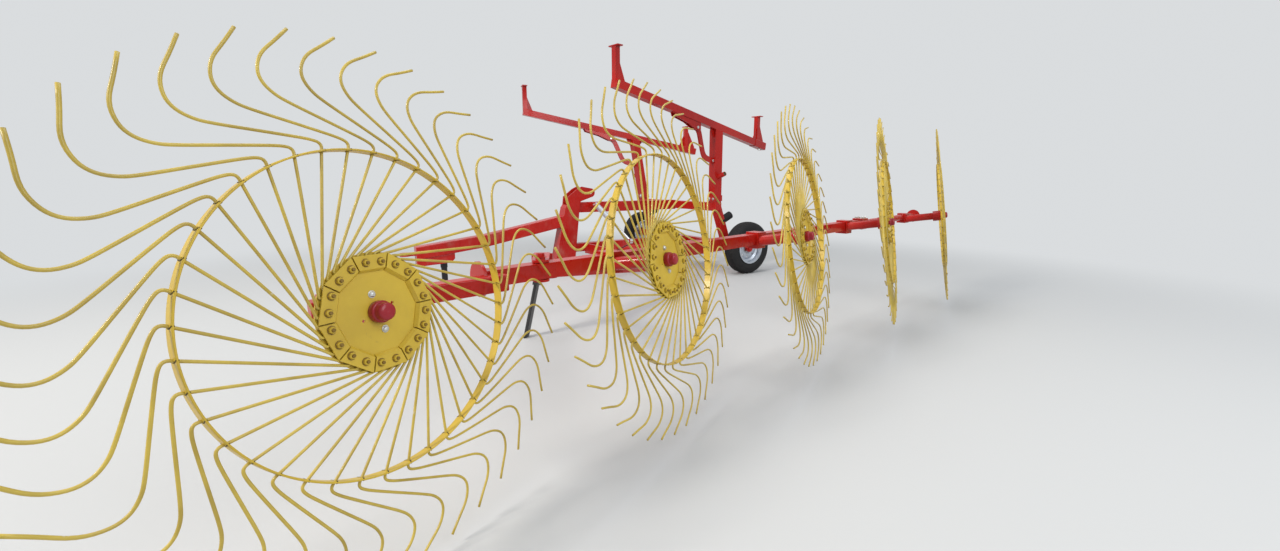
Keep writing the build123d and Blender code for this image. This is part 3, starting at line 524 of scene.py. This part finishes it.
def spun(parts, count):
    """Copies of surfaces turned evenly round z: x * cos - y * sin, x * sin + y * cos, z."""
    made = []
    for points, faces in parts:
        turn = np.arange(count) * 2 * np.pi / count
        c, s = np.cos(turn)[:, None], np.sin(turn)[:, None]
        x, y = points[:, 0][None], points[:, 1][None]
        z = np.broadcast_to(points[:, 2][None], (count, len(points)))
        every = np.stack([x * c - y * s, x * s + y * c, z], -1)
        steps = (np.arange(count) * len(points))[:, None, None]
        made.append((every.reshape(-1, 3), (faces[None] + steps).reshape(-1, 4)))
    return made


def laid_on(parts, number):
    """Surfaces laid in a wheel's plane, moved to the wheel: centre + x * level + y * upright + z * axis."""
    centre, axis, level, upright = wheel_frame(number)
    turned_to = np.stack([level, upright, axis])
    return [(centre + points @ turned_to, faces) for points, faces in parts]


class TEDDER_OT_finger_wheels(bpy.types.Operator):
    """Rim bands with forty bent wire tines on each finger wheel"""
    bl_idname = "tedder.finger_wheels"
    bl_label = "Finger wheels"

    def execute(self, context):
        size = sizes()
        line = smooth_line(TINE_LINE, 4) * size.rim_radius
        path = np.concatenate([line, np.zeros((len(line), 1))], 1)
        tine = carried(path, circle(size.wire / 2, 8))
        half, wall, corner = size.rim_width / 2, size.rim_wall / 2, size.rim_wall * 0.35
        band_profile = [
            (size.rim_radius + wall, -half + corner), (size.rim_radius + wall, half - corner),
            (size.rim_radius + wall - corner, half), (size.rim_radius - wall + corner, half),
            (size.rim_radius - wall, half - corner), (size.rim_radius - wall, -half + corner),
            (size.rim_radius - wall + corner, -half), (size.rim_radius + wall - corner, -half)]
        band = turned(band_profile, (0, 0, 0), AXLE, 180)
        slot_shade_box = self.slot_shade_box(size)
        for number in range(1, size.wheels + 1):
            body = f"rake_wheel_{number}"
            wire = laid_on(spun([tine], size.tines), number)
            piece(f"tines_{number}", wire, "tine_yellow", body,
                  replaces=(f"tine_ring_{number}",))
            piece(f"rim_band_{number}", laid_on([band], number), "wheel_yellow", body, smooth=False)
            # dark boxes across each band: painted shade of the slots the tines lie in
            slot_shades = laid_on(spun([slot_shade_box], size.tines), number)
            piece(f"rim_slot_shades_{number}", slot_shades, "slot_shade", body, smooth=False)
        return {"FINISHED"}

    def slot_shade_box(self, size):
        """Painted shade of the slot a tine lies in: a thin dark box across the band, a little proud of both
        its faces.
        """
        proud, edge, half_gap = 0.0005, 0.0010, 0.0013
        bow_deep, bow_back, steps = 0.0060, 0.0020, 9
        share = np.linspace(-1.0, 1.0, steps)
        bow = bow_deep * (1.0 - share ** 2) - bow_back
        line = np.stack([np.full(steps, size.rim_radius), bow, share * (size.rim_width / 2 - edge)], -1)
        outline = np.array([(-1, -1), (1, -1), (1, 1), (-1, 1)]) * (half_gap, size.rim_wall / 2 + proud)
        return carried(line, outline, (1, 0, 0))


class TEDDER_OT_hub_fittings(bpy.types.Operator):
    """Hub caps and sleeves, clamp plate bolts and the two plated bolts of each finger wheel"""
    bl_idname = "tedder.hub_fittings"
    bl_label = "Hub fittings"

    def execute(self, context):
        nuts, washers = self.plate_bolts()
        disc_bolts, caps, sleeves = self.disc_bolts(), [self.cap()], [self.sleeve()]
        for number in range(1, sizes().wheels + 1):
            body = f"rake_wheel_{number}"
            # the plate washers take the dark finish: painted shade round each nut
            for name, parts, finish in (
                    ("hub_sleeve", sleeves, "frame_red"), ("plate_nuts", nuts, "wheel_yellow"),
                    ("plate_washers", washers, "bolt_yellow"), ("disc_bolts", disc_bolts, "zinc")):
                piece(f"{name}_{number}", laid_on(parts, number), finish, body, smooth=False)
            piece(f"cap_{number}", laid_on(caps, number), "cap_red", body,
                  replaces=(f"hub_cap_{number}",))
        return {"FINISHED"}

    def plate_bolts(self):
        """Nuts, and washers with thread ends: two bolts on each clamp plate. The washers and thread ends are
        dark with painted shade round each nut.
        """
        nuts, washers = [], []
        seat, plate_circle, lead = 0.0012, 0.139, 2.05
        washer = ((0.0, 0.0), (0.0116, 0.0), (0.0116, seat), (0.0, seat))
        thread = ((0.0, 0.0085), (0.0048, 0.0085), (0.0048, 0.0130), (0.0040, 0.0142), (0.0, 0.0142))
        for side in (-9.0, 9.0):
            spot = self.round_hub(plate_circle, 180.0 / PLATES - lead + side, PLATE_TOP)
            washers.append(turned(washer, spot, AXLE, 20))
            washers.append(turned(thread, spot, AXLE, 14))
            nuts.append(hexagon((spot[0], spot[1], PLATE_TOP + seat), AXLE, 0.0165, 0.0080, side))
        return spun(nuts, PLATES), spun(washers, PLATES)

    def disc_bolts(self):
        """Two plated bolts with domed heads on the disc."""
        head = (
            (0.0, 0.0), (0.0105, 0.0), (0.0105, 0.0018), (0.0082, 0.0018), (0.0080, 0.0055),
            (0.0058, 0.0078), (0.0, 0.0086))
        return [turned(head, self.round_hub(0.052, turn, DISC_FRONT), AXLE, 24) for turn in (101.0, 281.0)]

    def cap(self):
        """The moulded cap: a collar, a step and a narrower dome."""
        outline = [(radius, DISC_FRONT + height) for radius, height in (
            (0.0, 0.0), (0.0300, 0.0), (0.0310, 0.0012), (0.0310, 0.0185), (0.0302, 0.0208), (0.0284, 0.0220),
            (0.0262, 0.0226), (0.0256, 0.0240), (0.0252, 0.0380), (0.0236, 0.0428), (0.0196, 0.0458),
            (0.0130, 0.0474), (0.0060, 0.0479), (0.0, 0.0480))]
        return turned(outline, (0, 0, 0), AXLE, 40)

    def sleeve(self):
        """The red barrel behind the disc."""
        outline = (
            (0.0415, -0.0088), (0.0428, -0.0088), (0.0428, -0.0663), (0.0245, -0.0663), (0.0245, -0.0655),
            (0.0415, -0.0655))
        return turned(outline, (0, 0, 0), AXLE, 40)

    def round_hub(self, radius, turn, along):
        """A point on a circle round the hub, at an angle in degrees."""
        angle = math.radians(turn)
        return radius * math.cos(angle), radius * math.sin(angle), along


# Ground wheels

class TEDDER_OT_tyres(bpy.types.Operator):
    """Tyres with ribbed tread, shoulder blocks and sidewall rings"""
    bl_idname = "tedder.tyres"
    bl_label = "Tyres"

    def execute(self, context):
        steps = 360
        turn = np.linspace(0, 2 * np.pi, steps, endpoint=False)[:, None]
        section = self.section(sizes())
        radius, along = self.tread(turn, *(np.repeat(section[None, :, k], steps, 0) for k in (0, 1)))
        for side in ("left", "right"):
            centre = np.array(JOINTS[f"ground_wheel_{side}_spin"]["pos_m"])
            points = np.stack([along, radius * np.cos(turn), radius * np.sin(turn)], -1) + centre
            tyre = (points.reshape(-1, 3), grid_faces(steps, points.shape[1], True))
            piece(f"tyre_tread_{side}", [tyre], "rubber", f"ground_wheel_{side}",
                  replaces=(f"tyre_{side}",))
        return {"FINISHED"}

    def section(self, size):
        """The smooth tyre's closed section of (radius, along): sidewall, tread, sidewall and bore."""
        half, bore = size.tyre_width / 2, 0.1722
        sidewall = np.array([
            (bore, -0.061), (0.181, -0.0655), (0.192, -0.068), (0.205, -0.0745), (0.221, -0.0805),
            (0.238, -0.0824), (0.256, -0.0815), (0.272, -0.0775), (0.286, -0.0715), (0.296, -0.0645),
            (0.3025, -0.0560)])
        across = np.linspace(-0.052, 0.052, 53)
        crown = size.tyre_radius - 0.0068 * (np.abs(across) / 0.0545) ** 2.2
        inside = [(bore, 0.02), (bore, -0.02)]
        section = np.concatenate([sidewall, np.stack([crown, across], -1), sidewall[::-1] * (1, -1), inside])
        section[:, 1] = np.clip(section[:, 1], -half, half)
        return section

    def tread(self, turn, radius, along):
        """The radius less grooves round the tread, slits at the shoulders and nicks on the ribs.

        Two rings stand out on each sidewall, each a bell curve of the radius."""
        tread_half, shoulder_from, sidewall_radius = 0.0525, 0.036, 0.290
        groove_pitch, groove_half, groove_deep = 0.018, 0.0022, 0.0055
        slits, slit_share, slit_deep, stagger = 60, 0.16, 0.0050, 0.25
        nicks, nick_share, nick_deep, slant = 90, 0.12, 0.0020, 40
        ring_radii, ring_half, ring_high, ring_limit = (0.248, 0.205), 0.0018, 0.0010, 0.285
        on_tread = np.abs(along) < tread_half
        shoulder = (np.abs(along) >= shoulder_from) & (radius > sidewall_radius)
        to_groove = np.abs(((np.abs(along) + groove_pitch / 2) % groove_pitch) - groove_pitch / 2)
        groove = (to_groove < groove_half) & (np.abs(along) > 0.004)
        slit = (turn * slits / (2 * np.pi) + np.sign(along) * stagger) % 1.0 < slit_share
        nick = (turn * nicks / (2 * np.pi) + along * slant) % 1.0 < nick_share
        nick = nick & on_tread & ~shoulder & (np.abs(along) > 0.013)
        radius = radius - groove_deep * (on_tread & groove)
        radius = radius - slit_deep * (slit & shoulder) - nick_deep * nick
        ring = sum(np.exp(-((radius - middle) / ring_half) ** 2) for middle in ring_radii)
        return radius, along + np.where(radius < ring_limit, -np.sign(along) * ring_high * ring, 0.0)


class TEDDER_OT_wheel_fittings(bpy.types.Operator):
    """Wheel nuts and valves of the ground wheels"""
    bl_idname = "tedder.wheel_fittings"
    bl_label = "Wheel fittings"

    def execute(self, context):
        count, nut_circle, disc_face, first_turn = 5, 0.055, 0.0115, 0.3
        valve_place, valve_out, valve_long = (0.0, 0.105, 0.098), 0.020, 0.034
        for side, out in (("left", 1.0), ("right", -1.0)):
            centre = np.array(JOINTS[f"ground_wheel_{side}_spin"]["pos_m"])
            axis = np.array([out, 0.0, 0.0])
            nuts = []
            for k in range(count):
                angle = 2 * math.pi * k / count + first_turn
                spoke = np.array([0, math.cos(angle), math.sin(angle)])
                nuts.append(hexagon(centre + axis * disc_face + nut_circle * spoke, axis, 0.019, 0.014, k))
            piece(f"wheel_nuts_{side}", nuts, "zinc", f"ground_wheel_{side}", smooth=False)
            foot = centre + axis * valve_out + np.array(valve_place)
            line = foot + axis * np.linspace(0.0, valve_long, 8)[:, None]
            valve = carried(line, circle(0.004, 10), scale=(1.5, 1.4, 1.1, 1.0, 1.0, 1.0, 1.15, 0.9))
            piece(f"valve_{side}", [valve], "rubber", f"ground_wheel_{side}")
        return {"FINISHED"}


# Frame

RED_NODES = (
    "drawbar", "towing_eye", "hitch_box", "tower", "main_beam", "lower_beam", "cross_beam", "axle_beam",
    "wheel_legs", "masts", "cradle_bars", "boom_bracket_front", "boom_bracket_rear", "torque_tube",
    "boom_arm", "wing_beam", "nose_beam", "end_tube", "tube_clamp", "wheel_stubs", "wheel_hub_left",
    "wheel_hub_right",
)
BLACK_NODES = ("jack_tube", "jack_leg", "stand_sleeve", "stand_leg")
SOFT_EDGED = (
    "drawbar", "hitch_box", "tower", "main_beam", "lower_beam", "cross_beam", "axle_beam", "wheel_legs",
    "masts", "cradle_bars", "boom_bracket_front", "boom_bracket_rear", "boom_arm", "wing_beam", "nose_beam",
    "tube_clamp", "wheel_stubs", "stand_sleeve", "stand_leg",
)


def finish_node(name, finish):
    """Gives a CAD node its material."""
    node = frame["nodes"][name]
    node.data.materials.clear()
    node.data.materials.append(material(finish))


def round_edges(name, radius):
    """Rounds a CAD node's edges with modifiers: corners joined, flats made whole, then a bevel."""
    node = frame["nodes"][name]
    weld = node.modifiers.new("join", "WELD")
    weld.merge_threshold = 0.00002
    flats = node.modifiers.new("flats", "DECIMATE")
    flats.decimate_type = "DISSOLVE"
    flats.angle_limit = math.radians(1.0)
    bevel = node.modifiers.new("edges", "BEVEL")
    bevel.width = radius
    bevel.segments = 3
    bevel.limit_method = "ANGLE"
    bevel.angle_limit = math.radians(35.0)


def ground(x, y, z):
    """A point given in millimetres above the ground, in the frame's metres."""
    return np.array([x, y, z]) / 1000.0 - (0.0, 0.0, EYE_HEIGHT)


def bead(start, end, radius):
    """A weld bead: a small round section carried along a straight run, its radius rippled by a sine."""
    spacing, skew = 0.006, (0.31, 0.52, 0.795)
    count = max(4, int(np.linalg.norm(end - start) / spacing))
    path = start + (end - start) * np.linspace(0.0, 1.0, count)[:, None]
    ripple = 1.0 + 0.16 * np.sin(np.arange(count) * 2.1)
    return carried(path, circle(radius, 8), skew, ripple)


class TEDDER_OT_welds(bpy.types.Operator):
    """Weld beads where the frame's tubes and plates meet"""
    bl_idname = "tedder.welds"
    bl_label = "Welds"

    def execute(self, context):
        radius = sizes().weld
        beads = []
        cross_top, cross_under, main_half, drawbar_half = 840, 740, 60, 65
        drawbar_end = ((1689, 568), (1718, 698))
        for side in (-1, 1):
            # the mast's foot and the leg's head on the cross beam
            for x in (side * 735, side * 845):
                beads.append(bead(ground(x, 3352, cross_top), ground(x, 3448, cross_top), radius))
            inner, outer = side * 755, side * 845
            beads.append(bead(ground(inner, 3386, cross_under), ground(outer, 3386, cross_under), radius))
            # the main beam's sides at the tower and at the cross beam
            x = side * main_half
            beads.append(bead(ground(x, 1917, 730), ground(x, 1928, 824), radius))
            beads.append(bead(ground(x, 3349, cross_under), ground(x, 3349, cross_top), radius))
            # the drawbar's sides at the tower
            low, high = (ground(side * drawbar_half, y, z) for y, z in drawbar_end)
            beads.append(bead(low, high, radius))
        # the drawbar's underside and top at the tower
        for y, z in drawbar_end:
            beads.append(bead(ground(-drawbar_half, y, z), ground(drawbar_half, y, z), radius))
        piece("frame_weld_beads", beads, "frame_red", "frame")
        return {"FINISHED"}


def mast_axes(side):
    """Top of a mast, and three directions: forward along its cradle bar, down the mast, square to both."""
    mirror = np.array([side, 1.0, 1.0])
    front, rear = ground(*CRADLE_FRONT) * mirror, ground(*CRADLE_REAR) * mirror
    top = rear + (front - rear) * (CRADLE_REAR[1] - MAST_TOP_Y) / (CRADLE_REAR[1] - CRADLE_FRONT[1])
    forward = (front - rear) / np.linalg.norm(front - rear)
    down = ground(*MAST_FOOT) * mirror - top
    down /= np.linalg.norm(down)
    out = np.cross(forward, down)
    return top, forward, down, out / np.linalg.norm(out)


def on_mast(axes, spots):
    """Points given in millimetres forward, down and out: top + forward * a + down * b + out * c."""
    return axes[0] + np.asarray(spots, float) / 1000.0 @ np.stack(axes[1:])


def mast_plate(axes, outline, middle, half):
    """A flat plate beside a mast's plane: an outline of (forward, down) points, drawn out to both faces."""
    flat = np.asarray(outline, float)
    faces = [np.column_stack([flat, np.full(len(flat), out)]) for out in (middle - half, middle + half)]
    return capped(np.stack([on_mast(axes, one) for one in faces]))


class TEDDER_OT_mast_links(bpy.types.Operator):
    """Bent links between masts and cradle bars, their brackets and pins, and the bars' rear sockets"""
    bl_idname = "tedder.mast_links"
    bl_label = "Mast links"

    def execute(self, context):
        bar = np.array([
            (-1, -0.93), (-0.93, -1), (0.93, -1), (1, -0.93), (1, 0.93), (0.93, 1), (-0.93, 1), (-1, 0.93)])
        links, brackets, pins, ends, end_bolts = [], [], [], [], []
        for side in (-1, 1):
            axes = mast_axes(side)
            links.append(self.link(axes, bar))
            brackets += self.brackets(axes)
            pins += self.pins(axes)
            socket, web, under = self.rear_end(axes, bar)
            ends += [socket, web]
            end_bolts += under
        piece("mast_links", links, "frame_red", "frame", smooth=False, replaces=("mast_braces",))
        piece("link_brackets", brackets, "frame_red", "frame", smooth=False)
        piece("link_pins", pins, "zinc", "frame", smooth=False)
        piece("cradle_sockets", ends, "frame_red", "frame", smooth=False)
        piece("socket_bolts", end_bolts, "zinc", "frame", smooth=False)
        return {"FINISHED"}

    def link(self, axes, bar):
        """The bent link: its line in millimetres forward of the mast's top and down the mast."""
        bend = (
            (414, 90), (388, 97), (354, 108), (324, 142), (298, 215), (264, 318), (242, 362), (210, 388),
            (170, 396), (112, 400), (64, 402))
        line = smooth_line(np.column_stack([bend, np.zeros(len(bend))]), 4)
        return carried(on_mast(axes, line), bar * (0.031, 0.010), axes[3])

    def brackets(self, axes):
        """Pairs of plates: the bracket under the cradle bar, and the lugs on the mast."""
        bracket = ((775, 38), (330, 38), (330, 110), (365, 128), (425, 128), (560, 92), (760, 75))
        lug = ((40, 372), (88, 376), (104, 388), (104, 416), (88, 428), (40, 432))
        bracket_out, lug_out, half = 29.0, 13.5, 4.0
        made = []
        for out in (-1, 1):
            made.append(mast_plate(axes, bracket, out * bracket_out, half))
            made.append(mast_plate(axes, lug, out * lug_out, half))
        return made

    def pins(self, axes):
        """A pin with two nuts at each end of the link."""
        made = []
        for spot, half in (((388, 97), 0.036), ((78, 401), 0.021)):
            middle = on_mast(axes, (*spot, 0.0))
            pin = ((0.0, -half), (0.010, -half), (0.010, half), (0.0, half))
            made.append(turned(pin, middle, axes[3], 20))
            for out in (-1, 1):
                foot = middle + axes[3] * (out * (half - 0.003))
                made.append(hexagon(foot, axes[3] * out, 0.030, 0.012))
        return made

    def rear_end(self, axes, bar):
        """A socket over the cradle bar's rear end, a web from it up the post, and a bolt under it."""
        top, forward = axes[0], axes[1]
        rear_reach, half, ahead, behind, bolt_behind, web_half = 0.8827, 0.045, 0.110, 0.130, 0.045, 0.005
        rear = top - forward * rear_reach
        socket = carried([rear + forward * ahead, rear - forward * behind], bar * half)
        level = np.array([forward[0], forward[1], 0.0]) / math.hypot(forward[0], forward[1])
        across = np.cross(level, UP)
        web = np.array(((0.002, 0.030), (-0.124, 0.010), (-0.118, 0.050), (-0.006, 0.285), (0.002, 0.285)))
        faces = [rear + web[:, :1] * level + web[:, 1:] * UP + across * out for out in (-web_half, web_half)]
        below = np.cross(forward, across)
        below *= -np.sign(below[2])
        under = bolt(rear - forward * bolt_behind + below * half, below, 0.026, 0.016)
        return socket, capped(np.stack(faces)), under


class TEDDER_OT_frame_finish(bpy.types.Operator):
    """Finishes and rounded edges of the frame's own pieces"""
    bl_idname = "tedder.frame_finish"
    bl_label = "Frame finish"

    def execute(self, context):
        for name in RED_NODES:
            finish_node(name, "frame_red")
        for name in BLACK_NODES:
            finish_node(name, "black")
        for number in range(1, sizes().wheels + 1):
            finish_node(f"wheel_disc_{number}", "wheel_yellow")
        for side in ("left", "right"):
            finish_node(f"wheel_rim_{side}", "silver")
        finish_node("leg_buffers", "rubber")
        finish_node("lift_barrel", "silver")
        finish_node("lift_rod", "chrome")
        for name in SOFT_EDGED:
            round_edges(name, sizes().edge)
        return {"FINISHED"}


def bolt(spot, axis, across, head):
    """A hexagon head on its washer, standing on a face."""
    axis = np.asarray(axis, float) / np.linalg.norm(axis)
    seat, reach = 0.0025, across * 0.85
    washer = turned(((0.0, 0.0), (reach, 0.0), (reach, seat), (0.0, seat)), spot, axis, 24)
    return [washer, hexagon(np.asarray(spot) + axis * seat, axis, across, head)]


def pin_head(spot, axis, radius):
    """A pin's flat head: a short cylinder with a drawn-in rim."""
    outline = ((0.0, 0.0), (radius, 0.0), (radius, 0.0045), (radius - 0.0015, 0.0060), (0.0, 0.0060))
    return turned(outline, spot, np.asarray(axis, float), 28)


class TEDDER_OT_fasteners(bpy.types.Operator):
    """Bolts of the mast collars and tube clamp, heads of the hinge pins, discs of painted shade in the mouths
    of the pegs
    """
    bl_idname = "tedder.fasteners"
    bl_label = "Fasteners"

    def execute(self, context):
        self.masts()
        self.hinges()
        self.clamp()
        return {"FINISHED"}

    def masts(self):
        """Two bolts on each mast's collar, and a dark disc of painted shade in the end of each peg."""
        collar, shade_discs = [], []
        collar_face, bolt_height, peg_rise, peg_end = 3331.4, 885, 0.35, (990.0, 3367.4, 1183.8)
        shade_disc = ((0.0, 0.0), (0.0215, 0.0), (0.0215, 0.0012), (0.0, 0.0012))
        for side in (-1, 1):
            for x, across in ((762, 0.028), (838, 0.019)):
                collar += bolt(ground(side * x, collar_face, bolt_height), (0, -1, 0), across, 0.011)
            tilt = np.array([side, 0.0, peg_rise]) / math.hypot(1.0, peg_rise)
            # a near black disc in each hollow peg's end: painted shade
            shade_discs.append(turned(shade_disc, ground(*peg_end) * (side, 1, 1), tilt, 28))
        piece("collar_bolts", collar, "zinc", "frame", smooth=False)
        piece("peg_mouths", shade_discs, "slot_shade", "frame", smooth=False)

    def hinges(self):
        """Heads of the lift cylinder's two pins, and the nut on the wing's upright pin."""
        lug_face, fork_top = np.array([0.0, -0.0295, 0.0]), np.array([0.0, 0.0, 0.055])
        top = np.array(JOINTS["lift_barrel_tilt"]["pos_m"])
        for name, middle, body in (("top", top, "frame"), ("foot", self.cylinder_foot(), "boom")):
            head = pin_head(middle + lug_face, (0, -1, 0), 0.017)
            piece(f"cylinder_{name}_pin", [head], "zinc", body, smooth=False)
        nut = bolt(np.array(JOINTS["wing_swing"]["pos_m"]) + fork_top, UP, 0.030, 0.014)
        piece("swing_pin_nut", nut, "frame_red", "boom", smooth=False)

    def clamp(self):
        """Four bolts in a rectangle along the wing, which turns and rises as it runs back."""
        wing_turn, wing_rise = math.radians(9.2), 0.0088
        clamp_top, half_run, half_across = 0.042, 0.025, 0.024
        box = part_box("tube_clamp")
        middle = (np.array(box[0]) + np.array(box[1])) / 2
        along = np.array([-math.sin(wing_turn), math.cos(wing_turn), wing_rise])
        inward = np.array([-along[1], along[0], 0.0])
        bolts = []
        for run in (-half_run, half_run):
            for across in (-half_across, half_across):
                spot = middle + along * run + inward * across
                bolts += bolt((spot[0], spot[1], middle[2] + clamp_top + run * wing_rise), UP, 0.017, 0.010)
        piece("clamp_bolts", bolts, "zinc", "wing", smooth=False)

    def cylinder_foot(self):
        """The rod's eye: the end of the crank, which rises from the torque tube's axis."""
        crank, rise = 0.530, math.radians(18.0)
        axis = np.array(JOINTS["boom_lift"]["pos_m"])
        return axis + crank * np.array([math.cos(rise), 0.0, math.sin(rise)])


# Stage

def aimed(scene, name, data, place, back):
    """A lamp or camera at a place, upright, with its back turned to a direction."""
    holder = bpy.data.objects.new(name, data)
    scene.collection.objects.link(holder)
    holder.location = place
    holder.rotation_mode = "QUATERNION"
    holder.rotation_quaternion = Vector(back).to_track_quat("Z", "Y")
    return holder


class TEDDER_OT_stage(bpy.types.Operator):
    """Pale floor, soft lights and the camera at the photograph's viewing angle"""
    bl_idname = "tedder.stage"
    bl_label = "Stage"

    def execute(self, context):
        scene = context.scene
        self.add_floor(scene)
        self.add_sky(scene)
        self.add_lamps(scene)
        self.add_camera(scene)
        scene.view_settings.view_transform = "Standard"
        return {"FINISHED"}

    def add_floor(self, scene):
        """A wide square under the machine."""
        reach = 60.0
        mesh = bpy.data.meshes.new("floor")
        corners = [(-reach, -reach), (reach, -reach), (reach, reach), (-reach, reach)]
        mesh.from_pydata([(x, y, -EYE_HEIGHT) for x, y in corners], [], [(0, 1, 2, 3)])
        mesh.materials.append(material("floor"))
        floor = bpy.data.objects.new("floor", mesh)
        scene.collection.objects.link(floor)

    def add_sky(self, scene):
        """Soft light from all round, and the backdrop's colour where it is seen or mirrored."""
        world = bpy.data.worlds.new("studio")
        world.use_nodes = True
        scene.world = world
        sky = Nodes(world.node_tree)
        soft = sky.node("ShaderNodeBackground", values={"Color": (0.86, 0.93, 1.0, 1.0), "Strength": 0.45})
        seen = sky.node("ShaderNodeBackground", values={"Color": (*colours().backdrop, 1.0), "Strength": 1.0})
        blend = sky.node("ShaderNodeMixShader", values={0: sky.shown_ray(), 1: soft, 2: seen})
        sky.node("ShaderNodeOutputWorld", values={"Surface": blend})

    def add_lamps(self, scene):
        """A key light, a fill and a wide light overhead."""
        lamps = (
            # name, place, aim, size, watts, colour
            ("key", (3.4, -8.6, 6.6), (1.8, 1.6, 0.4), 2.4, 900.0, (1.0, 0.96, 0.90)),
            ("fill", (9.5, 3.0, 5.0), (1.8, 1.6, 0.6), 5.0, 370.0, (0.94, 0.97, 1.0)),
            ("top", (0.5, 1.5, 9.0), (1.5, 1.6, 0.4), 6.0, 330.0, (1.0, 1.0, 1.0)),
        )
        for name, place, aim, size, watts, colour in lamps:
            lamp = bpy.data.lights.new(name, "AREA")
            lamp.energy = watts
            lamp.size = size
            lamp.color = colour
            aimed(scene, name, lamp, place, np.array(place) - np.array(aim))

    def add_camera(self, scene):
        """The camera fitted to the wheels: place, level direction, pitch down, focal length in pixels."""
        place, aim, pitch = (5.476, -0.735, 1.109 - EYE_HEIGHT), (-0.839, 0.545), math.radians(10.8)
        focal_pixels, frame_pixels = 500.0, 1280.0
        camera = bpy.data.cameras.new("camera")
        camera.sensor_width = 36.0
        camera.lens = focal_pixels / frame_pixels * camera.sensor_width
        camera.clip_start = 0.05
        camera.clip_end = 300.0
        level = np.array([*aim, 0.0]) / math.hypot(*aim)
        back = -(level * math.cos(pitch) - UP * math.sin(pitch))
        scene.camera = aimed(scene, "camera", camera, place, back)


OPERATORS = (
    TEDDER_OT_stage, TEDDER_OT_frame_finish, TEDDER_OT_finger_wheels, TEDDER_OT_hub_fittings, TEDDER_OT_tyres,
    TEDDER_OT_wheel_fittings, TEDDER_OT_mast_links, TEDDER_OT_welds, TEDDER_OT_fasteners,
)


class TEDDER_PT_panel(bpy.types.Panel):
    """Lists the pieces in the sidebar"""
    bl_idname = "TEDDER_PT_panel"
    bl_label = "Hay tedder"
    bl_space_type = "VIEW_3D"
    bl_region_type = "UI"
    bl_category = "Tedder"

    def draw(self, context):
        for maker in OPERATORS:
            self.layout.operator(maker.bl_idname)
        for group in (context.scene.tedder_sizes, context.scene.tedder_colours):
            for name in group.bl_rna.properties.keys():
                if name not in ("rna_type", "name"):
                    self.layout.prop(group, name)


CLASSES = (TedderSizes, TedderColours, *OPERATORS, TEDDER_PT_panel)


def register():
    """Adds the classes, and the sizes and colours to the scene."""
    for one in CLASSES:
        bpy.utils.register_class(one)
    bpy.types.Scene.tedder_sizes = bpy.props.PointerProperty(type=TedderSizes)
    bpy.types.Scene.tedder_colours = bpy.props.PointerProperty(type=TedderColours)


def unregister():
    """Takes away what register adds."""
    del bpy.types.Scene.tedder_sizes
    del bpy.types.Scene.tedder_colours
    for one in reversed(CLASSES):
        bpy.utils.unregister_class(one)


def main():
    """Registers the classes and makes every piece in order."""
    register()
    for maker in OPERATORS:
        group, name = maker.bl_idname.split(".")
        getattr(getattr(bpy.ops, group), name)()


if __name__ == "__main__":
    main()
